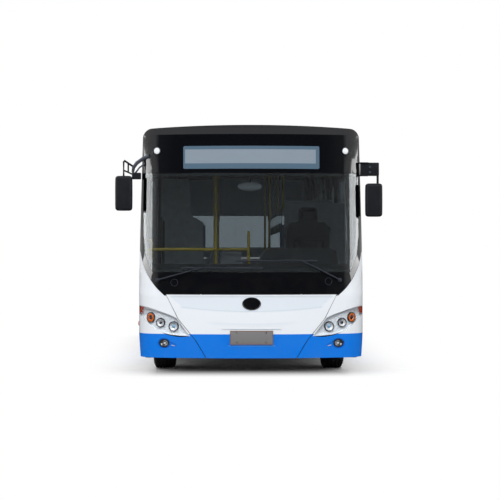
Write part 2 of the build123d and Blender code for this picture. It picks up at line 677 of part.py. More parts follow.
def low_frame():
    """Ladder under the low floor, with its jacking pads and the front towing eye."""
    half = IN_HALF - 30
    w = RAIL_W / 2
    low_z, top_z = LOW_RAIL_BASE, LOW_RAIL_TOP
    bars = [box(x - w, x + w, NOSE_Y + 260, REAR_FLOOR_Y - SEAT, low_z, top_z) for x in (-RAIL_X, RAIL_X)]
    for y in (NOSE_Y + 300, TOW_FRONT_Y, JACK_FRONT_Y, FRONT_AXLE_Y + 710, MIDDLE_DOOR_Y - 1450,
              MIDDLE_DOOR_Y - 550, MIDDLE_DOOR_Y + 450, JACK_REAR_Y):
        bars.append(box(-half, half, y - w, y + w, low_z, top_z))
    for x in (-JACK_X, JACK_X):
        for y in (JACK_FRONT_Y, JACK_REAR_Y):
            bars.append(Pos(x, y, low_z - JACK_PAD / 2) * Cylinder(28, JACK_PAD))
    eye_z = low_z - 35
    lug = box(-TOW_T / 2, TOW_T / 2, TOW_FRONT_Y - 50, TOW_FRONT_Y + 50, eye_z - 35, low_z + 10)
    lug = fillet(lug.edges().filter_by(Axis.X).sort_by(Axis.Z)[:2], 30)
    frame = fused(*bars) & LINED
    return frame + lug - rod((-TOW_T, TOW_FRONT_Y, eye_z), (TOW_T, TOW_FRONT_Y, eye_z), TOW_BORE_R)


def tail_frame():
    """Raised ladder behind, with the uprights that step it up and the rear towing tongue."""
    half = IN_HALF - 30
    w = RAIL_W / 2
    low_z, top_z = TAIL_RAIL_BASE, TAIL_RAIL_TOP
    bars = []
    for x in (-RAIL_X, RAIL_X):
        bars.append(box(x - w, x + w, REAR_FLOOR_Y, TAIL_CAP_Y + 80, low_z, top_z))
        bars.append(box(x - w, x + w, REAR_FLOOR_Y, REAR_FLOOR_Y + 120, LOW_RAIL_BASE, top_z))
    for y in (REAR_FLOOR_Y + 60, REAR_AXLE_Y + 700, TAIL_Y - 350):
        bars.append(box(-half, half, y - w, y + w, low_z, top_z))
    for y in (REAR_AXLE_Y + 1100, TAIL_Y - 550):
        bars.append(box(-RAIL_X, RAIL_X, y - w, y + w, low_z, top_z))
    frame = fused(*bars) & LINED
    tongue = box(-60, 60, TAIL_Y - 380, TOW_REAR_Y + 50, low_z, low_z + TOW_T)
    tongue = fillet(tongue.edges().filter_by(Axis.Z).sort_by(Axis.Y)[-2:], 45)
    return frame + tongue - Pos(0, TOW_REAR_Y, low_z) * Cylinder(TOW_BORE_R, 4 * TOW_T)


def build_chassis():
    posts = []
    for x in (-RAIL_X, RAIL_X):
        for y in (TOP_FLOOR_Y + 100, TAIL_Y - 350):
            w = RAIL_W / 2
            posts.append(box(x - w, x + w, y - w, y + w, TAIL_RAIL_TOP + SEAT, TOP_FLOOR_Z - DECK - SEAT))
    keep("chassis_frame", low_frame(), tail_frame(), *posts)
    engine = box(-330, 330, REAR_AXLE_Y + 1130 + SEAT, TAIL_Y - 580 - SEAT, 390, 960)
    keep("engine_block", chamfer(engine.edges().filter_by(Axis.Y), 60))


AXLE_LOW_Z = 190
LUG_HALF = 55
LUG_GAP = 6
LUG_T = 30


def build_front_axle():
    y, k = FRONT_AXLE_Y, KINGPIN_HALF
    end_low, end_high = KINGPIN_Z - 50, KINGPIN_Z + 50
    profile = polygon((-k + 10, end_high), (-k + 10, end_low), (-k + 75, end_low), (-640, AXLE_LOW_Z),
                      (640, AXLE_LOW_Z), (k - 75, end_low), (k - 10, end_low), (k - 10, end_high), (k - 75, end_high),
                      (600, AXLE_LOW_Z + 90), (-600, AXLE_LOW_Z + 90), (-k + 75, end_high))
    beam = along_y(profile, y - 45, y + 45)
    for x in (-k, k):
        beam += Pos(x, y, KINGPIN_Z) * Cylinder(42, 2 * LUG_HALF)
    for x in (-k, k):
        beam -= Pos(x, y, KINGPIN_Z) * Cylinder(KINGPIN_R + PIN_CLEARANCE, 300)
    for x in (-RAIL_X, RAIL_X):
        beam += box(x - 25, x + 25, y + 30, y + 600, AXLE_LOW_Z + 20, AXLE_LOW_Z + 70)
        beam += box(x - 25, x + 25, y + 560, y + 600, AXLE_LOW_Z + 20, LOW_RAIL_BASE - SEAT)
    keep("front_axle_beam", beam)
    right = []
    for z in (KINGPIN_Z - LUG_HALF - LUG_GAP - LUG_T, KINGPIN_Z + LUG_HALF + LUG_GAP):
        right.append(box(k - 40, k + 70, y - 40, y + 40, z, z + LUG_T))
    reach = LUG_HALF + LUG_GAP + LUG_T
    right.append(Pos(k, y, KINGPIN_Z) * Cylinder(KINGPIN_R, 2 * reach))
    right.append(box(k + 50, k + 70, y - 60, y + 60, KINGPIN_Z - reach, KINGPIN_Z + reach))
    right.append(rod((k + 70, y, TYRE_R), (FRONT_TRACK_HALF + 60, y, TYRE_R), SPINDLE_R))
    knuckle = fused(*right)
    keep("knuckle_right", knuckle)
    keep("knuckle_left", mirrored(knuckle))


def tyre_profile(width, outer, inner):
    """Section of a tyre, drawn as way along the axle and radius."""
    w = width / 2
    return make_face(Polyline((-w * 0.86, inner), (-w, inner + 60), (-w, outer - 55), (-w + 12, outer - 18),
                              (-w + 34, outer), (w - 34, outer), (w - 12, outer - 18), (w, outer - 55),
                              (w, inner + 60), (w * 0.86, inner), (-w * 0.86, inner)))


def hand_holes(rim, x0, x1, radius):
    for k in range(HAND_HOLES):
        angle = 2 * math.pi * k / HAND_HOLES
        y, z = radius * math.cos(angle), radius * math.sin(angle)
        rim -= rod((x0, y, z), (x1, y, z), HAND_HOLE_R)
    return rim


def front_rim():
    """Wheel and hub in one, outside towards +X: a well, a dished disc with hand holes and a domed hub."""
    seat_r = RIM_R - SEAT
    well_r = seat_r - RIM_T
    w = TYRE_W / 2 * 0.84
    in_x = KINGPIN_HALF + 76 - FRONT_TRACK_HALF
    section_face = make_face(Polyline(
        (-w, seat_r), (-w, well_r), (40, well_r), (40, 200), (in_x, 200), (in_x, SPINDLE_R + PIN_CLEARANCE),
        (70, SPINDLE_R + PIN_CLEARANCE), (70, 0), (125, 0), (125, 70), (115, 90), (85, 115), (68, 200), (60, well_r),
        (w, well_r), (w, seat_r), (-w, seat_r)))
    return hand_holes(revolve(section_face, Axis.X), 20, 90, 236)


def rear_rims():
    """Twin wheels and hub in one, their middle at 0."""
    seat_r = RIM_R - SEAT
    well_r = seat_r - RIM_T
    w = TYRE_W / 2 * 0.84
    o = TWIN_OFFSET
    bore = REAR_SPINDLE_R + PIN_CLEARANCE
    section_face = make_face(Polyline(
        (-o - w, seat_r), (-o - w, well_r), (-12, well_r), (-12, 200), (-90, 200), (-90, bore), (70, bore), (70, 0),
        (o + 60, 0), (o + 60, 80), (o + 45, 95), (60, 110), (12, 130), (12, well_r), (o + w, well_r), (o + w, seat_r),
        (-o - w, seat_r)))
    return hand_holes(revolve(section_face, Axis.X), -30, 30, 228)


def build_wheels():
    tyre = revolve(tyre_profile(TYRE_W, TYRE_R, RIM_R), Axis.X)
    for side, name in ((-1, "left"), (1, "right")):
        turn = Rot(0, 0, 180) if side < 0 else Rot(0, 0, 0)
        place = Pos(side * FRONT_TRACK_HALF, FRONT_AXLE_Y, TYRE_R) * turn
        keep("tyre_front_" + name, place * tyre)
        keep("rim_front_" + name, place * front_rim())
        place = Pos(side * TWIN_MID_HALF, REAR_AXLE_Y, TYRE_R) * turn
        keep("tyres_rear_" + name, *[place * Pos(dx, 0, 0) * tyre for dx in (-TWIN_OFFSET, TWIN_OFFSET)])
        keep("rims_rear_" + name, place * rear_rims())


def build_rear_axle():
    y, z = REAR_AXLE_Y, TYRE_R
    end = TWIN_MID_HALF + 60
    axle = rod((-end, y, z), (end, y, z), REAR_SPINDLE_R)
    axle += rod((-700, y, z), (700, y, z), 75)
    axle += Pos(0, y, z) * Sphere(185)
    saddle_z = z + 95
    for x in (-RAIL_X, RAIL_X):
        axle += box(x - 60, x + 60, y - 60, y + 60, z, saddle_z)
    keep("rear_axle", axle)
    springs = []
    for x in (-RAIL_X, RAIL_X):
        springs.append(air_spring(x, y, saddle_z, TAIL_RAIL_BASE, 58))
    for x in (-515, 515):
        springs.append(air_spring(x, FRONT_AXLE_Y, AXLE_LOW_Z + 90, LOW_RAIL_TOP, 42))
    keep("air_springs", *springs)


def air_spring(x, y, low_z, high_z, radius):
    """Rubber bellows with two lobes, standing between two seats."""
    height = high_z - low_z - 2 * SEAT
    mid_z = (low_z + high_z) / 2
    lobe = height / 5
    spring = Pos(x, y, mid_z) * Cylinder(radius - lobe, height)
    for z in (mid_z - height / 4, mid_z + height / 4):
        spring += Pos(x, y, z) * Torus(radius - lobe, lobe)
    return spring


def door_leaf(y0, hinge_first):
    """One door leaf with its pane; the hinge is at its low-y or high-y edge."""
    y1 = y0 + DOOR_W
    mid = (y0 + y1) / 2
    if hinge_first:
        a, b = y0 + HINGE_GAP, mid - MEET_GAP / 2
    else:
        a, b = mid + MEET_GAP / 2, y1 - HINGE_GAP
    low, high = FLOOR_Z + DOOR_LIFT, DOOR_TOP_Z - 10
    layer = SKIN - envelope(LEAF)
    leaf = layer & box(-HALF - 50, -900, a, b, low, high)
    light = box(-HALF - 50, -900, a + LEAF_RAIL, b - LEAF_RAIL, low + 130, high - 90)
    pane_hole = box(-HALF - 50, -900, a + LEAF_RAIL - 25, b - LEAF_RAIL + 25, low + 105, high - 65)
    leaf = leaf - light - (pane_hole & REBATE)
    axis_y = a + DOOR_AXIS_EDGE if hinge_first else b - DOOR_AXIS_EDGE
    axis_x = DOOR_AXIS_INSET - HALF
    leaf += rod((axis_x, axis_y, FLOOR_Z + SEAT), (axis_x, axis_y, low + 10), DOOR_PIN_R)
    leaf += rod((axis_x, axis_y, high - 10), (axis_x, axis_y, DOOR_TOP_Z - SEAT), DOOR_PIN_R)
    pane = GLASS_LAYER & box(-HALF - 50, -900, a + LEAF_RAIL - 25 + SEAT, b - LEAF_RAIL + 25 - SEAT,
                             low + 105 + SEAT, high - 65 - SEAT)
    return leaf, pane


def build_doors():
    for place, y0 in (("front", FRONT_DOOR_Y), ("middle", MIDDLE_DOOR_Y)):
        for which, first in (("a", True), ("b", False)):
            leaf, pane = door_leaf(y0, first)
            keep("door_" + place + "_" + which, leaf)
            keep("door_glass_" + place + "_" + which, pane)


# Cabin
DASH_LOW_Z = 1240
DASH_Z = 1330
SEAT_X = 718
DRIVER_Y = NOSE_Y + 1350
WHEEL_R = 215
POLE_R = 17
CEILING_Z = ROOF_Z - SHELL - 8
GUARD_Y = CAP_Y + 80
GUARD_Z = 1490
GUARD_X = -400
FARE_X = (-356, -100)
FARE_Z = 1456

# Poles from floor to ceiling: x, y
POLES = ((GUARD_X, NOSE_Y + 900), (-420, FRONT_AXLE_Y - 450), (310, FRONT_AXLE_Y + 1600),
         (-420, MIDDLE_DOOR_Y - 450), (-420, MIDDLE_DOOR_Y + 1200), (310, REAR_FLOOR_Y - 350))


def build_dashboard():
    """Hollow shelf behind the windscreen, with the driver's binnacle on it."""
    inner = envelope(2 * SHELL + SEAT)
    shelf = box(-HALF, HALF, NOSE_Y, CAP_Y + 30, DASH_LOW_Z, DASH_Z) & inner
    for x in (-FLAP_ARM_X, FLAP_ARM_X):
        shelf -= box(x - 40, x + 40, NOSE_Y, CAP_Y - 100, 0, DASH_LOW_Z + 20)
    face = box(-HALF, HALF, CAP_Y, CAP_Y + 30, FLOOR_Z + SEAT, DASH_Z) & inner
    hood = polygon((60, DASH_Z), (150, DASH_Z + 150), (230, DASH_Z + 177), (870, DASH_Z + 177), (940, DASH_Z + 140),
                   (960, DASH_Z))
    binnacle = along_y(hood, CAP_Y - 190, CAP_Y + 30)
    binnacle -= box(200, 880, CAP_Y - 10, CAP_Y + 40, DASH_Z + 20, DASH_Z + 150)
    keep("dashboard", fused(shelf, face, binnacle & inner))


def build_driver_place():
    x, y, z = SEAT_X, DRIVER_Y, FLOOR_Z
    pan = box(x - 240, x + 240, y, y + 460, z + 420, z + 520)
    pan = fillet(pan.edges().filter_by(Axis.X).sort_by(Axis.Y)[:2], 40)
    back_face = polygon((x - 240, z + 520), (x + 240, z + 520), (x + 270, 1750), (x + 200, 1820), (x + 115, 1830),
                        (x + 105, 2000), (x - 105, 2000), (x - 115, 1830), (x - 200, 1820), (x - 270, 1750))
    back = along_y(fillet(back_face.vertices().sort_by(Axis.Y)[-2:], 40), y + 400, y + 500)
    base = box(x - 150, x + 150, y + 80, y + 380, z + SEAT, z + 420)
    keep("driver_seat", fused(pan, back, base))
    low, top = (x, CAP_Y + 60, z + 150), (x, CAP_Y + 330, 1180)
    column = rod(low, top, 30)
    column += box(x - 60, x + 60, CAP_Y + 30 + SEAT, CAP_Y + 120, z + SEAT, z + 200)
    keep("steering_column", column)
    direction = (Vector(*top) - Vector(*low)).normalized()
    hub_gap = 40
    plane = Plane(origin=Vector(*top) + direction * hub_gap, z_dir=direction)
    wheel = plane * Torus(WHEEL_R, 16)
    wheel += plane * Pos(0, 0, -5) * Cylinder(45, 2 * (hub_gap - SEAT - 5))
    for angle in (90, 210, 330):
        wheel += plane * Rot(0, 0, angle) * Pos(WHEEL_R / 2, 0, 0) * Box(WHEEL_R - 15, 30, 14)
    keep("steering_wheel", wheel)


def build_rails():
    foot = FLOOR_Z + SEAT
    back_y = NOSE_Y + 900
    stub_x, short_x = -1140, -20
    guard = fused(rod((stub_x, GUARD_Y, foot), (stub_x, GUARD_Y, GUARD_Z + POLE_R), POLE_R),
                  rod((stub_x, GUARD_Y, GUARD_Z), (GUARD_X, GUARD_Y, GUARD_Z), POLE_R),
                  rod((GUARD_X, GUARD_Y, GUARD_Z), (GUARD_X, back_y, GUARD_Z), POLE_R),
                  Pos(GUARD_X, GUARD_Y, GUARD_Z) * Sphere(POLE_R),
                  rod((GUARD_X, back_y, GUARD_Z), (short_x, back_y, GUARD_Z), POLE_R),
                  rod((short_x, back_y, foot), (short_x, back_y, 1700), POLE_R),
                  rod((GUARD_X, back_y, foot), (GUARD_X, back_y, CEILING_Z), POLE_R),
                  rod((GUARD_X, back_y, foot), (GUARD_X, back_y, 1300), POLE_R + 8))
    poles = [rod((x, y, foot), (x, y, CEILING_Z), POLE_R) for x, y in POLES[1:]]
    keep("handrails", guard, *poles)


def build_partitions():
    """Screens before the front wheel housings, behind the door and behind the driver."""
    blocks = housing_block(FRONT_AXLE_Y, ARCH_R)
    door_y, driver_y = FRONT_AXLE_Y - 590, FRONT_AXLE_Y - 530
    foot = FLOOR_Z + SEAT
    screen = along_y(polygon((-1030, foot), (-560, foot), (-560, 1820), (-700, 1900), (-740, 2350), (-1070, 2350),
                             (-1070, 1900), (-1030, 1820)), door_y, door_y + 30)
    driver_screen = box(430, 1180, driver_y, driver_y + 30, foot, 2060)
    driver_screen += rod((425, driver_y + 15, 2078), (1024, driver_y + 15, 2078), 20)
    screens = [shape - blocks - mirrored(blocks) for shape in (screen, driver_screen)]
    keep("partitions", *screens)


def seat_shell(y, floor_z):
    """Moulded seat on a pedestal, on the right: one bent sheet with a waterfall front and a leaning back."""
    z = floor_z + 400
    bent = polygon((y, z + 12), (y + 20, z + 34), (y + 330, z + 22), (y + 375, z + 60), (y + 425, z + 480),
                   (y + 455, z + 480), (y + 405, z + 40), (y + 350, z - 4), (y + 20, z + 8))
    seat = along_x(bent, 680, 1120)
    sides = seat.edges().filter_by(Axis.X).sort_by(Axis.Z)
    seat = fillet(sides[-2:], 10)
    seat -= box(820, 980, y + 380, y + 500, z + 400, z + 445)
    seat += box(870, 930, y + 140, y + 240, floor_z + SEAT, z + 20)
    return seat


def build_seats():
    """Rows on the low floor as far as there is room, and three rows on the raised floor behind."""
    pitch, depth = 800, 480
    for side, name, last_y in ((-1, "left", MIDDLE_DOOR_Y - 50), (1, "right", REAR_FLOOR_Y - 350)):
        rows = [(FRONT_AXLE_Y + 1150 + k * pitch, FLOOR_Z) for k in range(4)]
        rows = [(y, z) for y, z in rows if y + depth < last_y]
        if side > 0:
            rows = rows[:3]
        rows += [(REAR_AXLE_Y + 400, REAR_FLOOR_Z), (REAR_AXLE_Y + 1350, TOP_FLOOR_Z),
                 (TAIL_CAP_Y - 540, TOP_FLOOR_Z)]
        seats = [seat_shell(y, z) for y, z in rows]
        keep("seats_" + name, *[mirrored(seat) if side < 0 else seat for seat in seats])


def build_cabin():
    build_dashboard()
    build_driver_place()
    keep("fare_box", fillet(box(*FARE_X, NOSE_Y + 1000, NOSE_Y + 1300, FLOOR_Z + SEAT, FARE_Z)
                            .edges().filter_by(Axis.Z), 20))
    build_rails()
    build_partitions()
    build_seats()


# Mirrors
MIRROR_Y = NOSE_Y + 340
MIRROR_W = 193
MIRROR_T = 120
LEFT_MIRROR = (-1417, 1919, 2309)
RIGHT_MIRROR = (1369, 1853, 2227)


def mirror_head(x, low_z, high_z):
    head = extrude(Pos(x, MIRROR_Y, low_z) * RectangleRounded(MIRROR_W, MIRROR_T, 40), high_z - low_z)
    head = fillet(head.faces().sort_by(Axis.Z)[0].edges() + head.faces().sort_by(Axis.Z)[-1].edges(), 18)
    glass = box(x - MIRROR_W / 2 + 14, x + MIRROR_W / 2 - 14, MIRROR_Y + MIRROR_T / 2 - 4, MIRROR_Y + MIRROR_T,
                low_z + 20, high_z - 20)
    return head - glass


def left_mirror():
    """Head under an open ladder of bars, held by a bowed arm and a foot on the corner."""
    y = MIRROR_Y
    outer_x, mid_x, inner_x = -1419, -1368, -1317
    low_z, high_z = LEFT_MIRROR[2] - 20, 2479
    foot = (-1130, nose_y(-1130, 2525) + 30, 2525)
    bars = (((outer_x, y, low_z), (outer_x, y, high_z), 12), ((mid_x, y, 2350), (mid_x, y, 2446), 9),
            ((inner_x, y, 2325), (inner_x, y, 2415), 11), ((outer_x, y, high_z), (inner_x, y, 2415), 10),
            ((outer_x, y, 2370), (inner_x, y, 2325), 10), ((inner_x, y, 2364), foot, 15))
    arm = fused(*[rod(a, b, radius) for a, b, radius in bars])
    for z in (2415, 2364, 2325):
        arm += Pos(inner_x, y, z) * Sphere(14)
    arm += Pos(outer_x, y, high_z) * Sphere(12)
    bracket = box(inner_x - 10, -1180, y - 20, y + 40, 2270, 2344)
    return mirror_head(*LEFT_MIRROR) + outside(arm + bracket)


def right_mirror():
    """Head on a stem under a flat bracket that is bolted to the corner."""
    y = MIRROR_Y
    end_x, low_z, high_z = 1430, 2307, 2461
    bracket = box(1170, end_x, y - 20, y + 20, low_z, high_z)
    bracket = fillet(bracket.edges().filter_by(Axis.Y).sort_by(Axis.X)[-2:], 15)
    for z in (low_z, high_z - 16):
        bracket += box(1170, end_x - 110, y - 32, y + 32, z, z + 16)
    stem = rod((1413, y, RIGHT_MIRROR[2] - 20), (1413, y, low_z + 10), 14)
    return mirror_head(*RIGHT_MIRROR) + stem + outside(bracket)


# Wipers: pivot x and z, end of the arm x and z, blade from x, to x, at z
WIPERS = ((-1030, 1153, -549, 1287, -770, 122, 1286), (970, 1153, 543, 1370, -172, 722, 1366))
BLADE_OFF = 10
ARM_OFF = 24


def wiper(x, z, end_x, end_z, blade_x0, blade_x1, blade_z):
    """Spindle, bent arm and blade; the blade follows the bow of the glass."""
    spindle = outside(rod((x, nose_y(x, z) - 34, z), (x, nose_y(x, z) + 20, z), 20))
    mid_x = (blade_x0 + blade_x1) / 2
    stops = ((x, z), ((x + end_x) / 2, (z + end_z) / 2), (end_x, end_z), (mid_x, blade_z))
    points = [Vector(px, nose_y(px, pz) - ARM_OFF, pz) for px, pz in stops]
    parts = [rod(a, b, radius) for a, b, radius in zip(points, points[1:], (11, 9, 7))]
    parts += [Pos(*point) * Sphere(9) for point in points[1:3]]
    parts.append(rod(points[-1], (mid_x, nose_y(mid_x, blade_z) - BLADE_OFF, blade_z), 7))
    count = 6
    blade = [blade_x0 + (blade_x1 - blade_x0) * k / count for k in range(count + 1)]
    blade = [Vector(px, nose_y(px, blade_z) - BLADE_OFF, blade_z) for px in blade]
    parts += [rod(a, b, 6) for a, b in zip(blade, blade[1:])]
    parts += [Pos(*point) * Sphere(6) for point in blade[1:-1]]
    return fused(spindle, *parts)


def build_outside():
    keep("mirror_left", left_mirror())
    keep("mirror_right", right_mirror())
    keep("wipers", *[wiper(*row) for row in WIPERS])


def main():
    for build in (build_mask, build_corners, build_flap, build_frame, build_sides, build_roof, build_tail,
                  build_floor, build_chassis, build_front_axle, build_wheels, build_rear_axle, build_doors,
                  build_cabin, build_outside):
        build()
    os.makedirs("parts", exist_ok=True)
    for name, shape in nodes.items():
        export_step(shape, "parts/" + name + ".step")


main()
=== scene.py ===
import math

import bmesh
import bpy
from mathutils import Matrix, Vector
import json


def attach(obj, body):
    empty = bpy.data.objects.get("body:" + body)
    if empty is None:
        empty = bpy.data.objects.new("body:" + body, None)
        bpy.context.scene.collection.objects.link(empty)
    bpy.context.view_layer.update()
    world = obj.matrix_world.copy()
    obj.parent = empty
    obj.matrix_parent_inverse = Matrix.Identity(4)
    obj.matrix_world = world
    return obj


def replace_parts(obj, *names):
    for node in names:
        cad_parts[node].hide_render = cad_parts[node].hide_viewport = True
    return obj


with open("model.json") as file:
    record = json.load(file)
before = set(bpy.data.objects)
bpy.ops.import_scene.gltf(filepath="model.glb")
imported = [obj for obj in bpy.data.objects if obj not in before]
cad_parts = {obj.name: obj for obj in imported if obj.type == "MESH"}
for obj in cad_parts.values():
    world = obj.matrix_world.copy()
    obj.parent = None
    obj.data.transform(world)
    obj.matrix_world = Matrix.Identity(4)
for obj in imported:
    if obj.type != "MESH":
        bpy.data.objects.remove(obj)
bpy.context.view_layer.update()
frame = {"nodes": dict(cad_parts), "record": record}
nodes = frame["nodes"]

# Nose of the body, in metres
NOSE_Y = -5.25
HALF = 1.2506
CORNER_R = 0.3
BOW_R = 4.2
TUCK_Z = 0.56
WAIST_Z = 1.17
EAVE_HALF = 1.204
EAVE_Z = 2.825
NOSE_LEANS = ((0.98, 2.758, 0.062), (2.758, 2.83, 0.35), (2.83, 3.0, 1.6))
TURN_X = HALF - CORNER_R
TURN_Y = NOSE_Y + BOW_R - math.sqrt((BOW_R - CORNER_R) ** 2 - TURN_X**2)
BOW_TURN = math.asin(TURN_X / (BOW_R - CORNER_R))
BOW_END = BOW_R * BOW_TURN
CORNER_END = BOW_END + CORNER_R * (math.pi / 2 - BOW_TURN)

# Running gear
FRONT_AXLE_Y = -2.85
REAR_AXLE_Y = 2.35
TYRE_R = 0.478
TYRE_W = 0.27
FRONT_TRACK_HALF = 1.05
TWIN_MID_HALF = 0.915
TWIN_OFFSET = 0.156

# Way round the nose where the headlamps end
NOSE_END = CORNER_END - 0.013
# Height where blue meets white
SPLIT_Z = 0.563


# Making meshes


def side_half(z):
    """Half width of the body at height z."""
    if z < TUCK_Z:
        return 1.25 - 0.045 * (TUCK_Z - z) / TUCK_Z
    if z < WAIST_Z:
        return 1.25
    return 1.25 - (1.25 - EAVE_HALF) * (z - WAIST_Z) / (EAVE_Z - WAIST_Z)


def nose_place(s, depth, z):
    """Point a way s round the nose from its middle, depth under the skin, at height z."""
    side = 1 if s >= 0 else -1
    way = abs(s)
    if way < BOW_END:
        turn = way / BOW_R
        x = (BOW_R - depth) * math.sin(turn)
        y = NOSE_Y + BOW_R - (BOW_R - depth) * math.cos(turn)
    elif way < CORNER_END:
        turn = BOW_TURN + (way - BOW_END) / CORNER_R
        x = TURN_X + (CORNER_R - depth) * math.sin(turn)
        y = TURN_Y - (CORNER_R - depth) * math.cos(turn)
    else:
        x = HALF - depth
        y = TURN_Y + way - CORNER_END
    y += 0.08 * max(TUCK_Z - z, 0)
    for low, high, slope in NOSE_LEANS:
        y += slope * min(max(z - low, 0), high - low)
    return Vector((side * min(x, side_half(z) - depth), y, z))


def way_at(x):
    """Way round the nose of a point seen at x from the front."""
    side = 1 if x >= 0 else -1
    x = abs(x)
    if x < BOW_R * math.sin(BOW_TURN):
        return side * BOW_R * math.asin(x / BOW_R)
    turn = math.asin(min((x - TURN_X) / CORNER_R, 1))
    return side * (BOW_END + CORNER_R * (turn - BOW_TURN))


def arc(a, b, c, count):
    """Points on the circle through a, b and c, from a to c, the short way."""
    (ax, az), (bx, bz), (cx, cz) = a, b, c
    a2, b2, c2 = ax**2 + az**2, bx**2 + bz**2, cx**2 + cz**2
    twice = 2 * (ax * (bz - cz) + bx * (cz - az) + cx * (az - bz))
    x = (a2 * (bz - cz) + b2 * (cz - az) + c2 * (az - bz)) / twice
    z = (a2 * (cx - bx) + b2 * (ax - cx) + c2 * (bx - ax)) / twice
    radius = math.hypot(ax - x, az - z)
    start = math.atan2(az - z, ax - x)
    turn = (math.atan2(cz - z, cx - x) - start + math.pi) % math.tau - math.pi
    angles = [start + turn * k / count for k in range(count + 1)]
    return [(x + radius * math.cos(angle), z + radius * math.sin(angle)) for angle in angles]


def new_meshes(count):
    return [bmesh.new() for _ in range(count)]


def wrap_on_nose(*meshes):
    """Bends what was drawn as (way, depth, height) round the nose."""
    for bm in meshes:
        for vert in bm.verts:
            vert.co = nose_place(*vert.co)
        bmesh.ops.recalc_face_normals(bm, faces=bm.faces)


def slab(bm, outline, near, far, step=0.04):
    """Plate with an outline in (way, height), from depth near to depth far, cut to bend."""
    verts = [bm.verts.new((s, near, z)) for s, z in outline]
    front = bm.faces.new(verts)
    made = bmesh.ops.extrude_face_region(bm, geom=[front])
    for item in made["geom"]:
        if isinstance(item, bmesh.types.BMVert):
            item.co.y = far
    low = min(s for s, z in outline)
    high = max(s for s, z in outline)
    for k in range(1, int((high - low) / step) + 1):
        everything = bm.verts[:] + bm.edges[:] + bm.faces[:]
        bmesh.ops.bisect_plane(bm, geom=everything, plane_co=(low + k * step, 0, 0), plane_no=(1, 0, 0),
                               dist=1e-5)


def spin(bm, profile, centre, axis, steps=48, closed=False, lift=None, flat=(2, 1.0)):
    """Turns a profile of (along, radius) about an axle.

    lift(step, index) may change a radius, and flat scales the result along one of x, y and z.
    """
    index, share = flat
    along = Vector(axis).normalized()
    side = along.orthogonal().normalized()
    up = along.cross(side)
    rings = []
    for k in range(steps):
        angle = math.tau * k / steps
        out = side * math.cos(angle) + up * math.sin(angle)
        ring = []
        for j, (a, r) in enumerate(profile):
            r = r + lift(k, j) if lift else r
            point = Vector(centre) + along * a + out * r
            point[index] = centre[index] + (point[index] - centre[index]) * share
            ring.append(bm.verts.new(point))
        rings.append(ring)
    count = len(profile)
    for k in range(steps):
        here, after = rings[k], rings[(k + 1) % steps]
        for j in range(count if closed else count - 1):
            bm.faces.new((here[j], here[(j + 1) % count], after[(j + 1) % count], after[j]))
    return rings


def tube(bm, points, radius, sides=12, flat=1.0, up=(0, 0, 1)):
    """Round or flattened bar along points; radius may be one number or one for each point."""
    points = [Vector(p) for p in points]
    radii = radius if isinstance(radius, (list, tuple)) else [radius] * len(points)
    rings = []
    for k, point in enumerate(points):
        ahead = points[min(k + 1, len(points) - 1)] - points[max(k - 1, 0)]
        ahead.normalize()
        across = ahead.cross(Vector(up))
        if across.length < 0.01:
            across = ahead.cross(Vector((0, 1, 0)))
        across.normalize()
        lift = across.cross(ahead)
        ring = []
        for j in range(sides):
            angle = math.tau * j / sides
            ring.append(bm.verts.new(point + (across * math.cos(angle) + lift * math.sin(angle) * flat)
                                     * radii[k]))
        rings.append(ring)
    for here, after in zip(rings, rings[1:]):
        for j in range(sides):
            bm.faces.new((here[j], here[(j + 1) % sides], after[(j + 1) % sides], after[j]))
    bm.faces.new(rings[0][::-1])
    bm.faces.new(rings[-1])


def block(bm, low, high, round_by=0.0, segments=3):
    """Box between two corners with its edges rounded."""
    low, high = Vector(low), Vector(high)
    place = Matrix.Translation((low + high) / 2) @ Matrix.Diagonal((*(high - low), 1))
    made = bmesh.ops.create_cube(bm, size=1, matrix=place)
    if round_by:
        edges = {edge for vert in made["verts"] for edge in vert.link_edges}
        bmesh.ops.bevel(bm, geom=list(edges), offset=round_by, segments=segments, profile=0.5, affect="EDGES")


def piece(name, bm, material, slot, body="body", sharp=35, bevel=0.0, rounds=0):
    """Makes the mesh an object that rides on a body."""
    bmesh.ops.remove_doubles(bm, verts=bm.verts, dist=1e-5)
    bmesh.ops.recalc_face_normals(bm, faces=bm.faces)
    mesh = bpy.data.meshes.new(name)
    bm.to_mesh(mesh)
    bm.free()
    mesh.materials.append(material)
    mesh.shade_smooth()
    mesh.set_sharp_from_angle(angle=math.radians(sharp))
    made = bpy.data.objects.new(name, mesh)
    bpy.context.collection.objects.link(made)
    if bevel:
        soften = made.modifiers.new("soft edges", "BEVEL")
        soften.width = bevel
        soften.segments = 2
        soften.limit_method = "ANGLE"
    if rounds:
        smooth = made.modifiers.new("rounding", "SUBSURF")
        smooth.levels = rounds
        smooth.render_levels = rounds
    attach(made, body)
    return made


# Shader nodes


class Field:
    """A value in a shader. Arithmetic on it adds the nodes that work it out."""

    def __init__(self, socket):
        self.socket = socket

    def to(self, operation, other=0.0):
        made = put(self.socket.id_data, "ShaderNodeMath", {0: self, 1: other}, operation=operation)
        return Field(made.outputs[0])

    def __add__(self, other):
        return self.to("ADD", other)

    def __sub__(self, other):
        return self.to("SUBTRACT", other)

    def __rsub__(self, other):
        return self * -1.0 + other

    def __mul__(self, other):
        return self.to("MULTIPLY", other)

    def __gt__(self, other):
        return self.to("GREATER_THAN", other)

    def __lt__(self, other):
        return self.to("LESS_THAN", other)

    def __abs__(self):
        return self.to("ABSOLUTE")

    __radd__ = __add__
    __rmul__ = __mul__


def feed(tree, node, inputs):
    """Sets a node's inputs to constants, fields or other nodes' sockets."""
    for key, value in inputs.items():
        value = value.socket if isinstance(value, Field) else value
        if isinstance(value, bpy.types.NodeSocket):
            tree.links.new(value, node.inputs[key])
        else:
            node.inputs[key].default_value = value


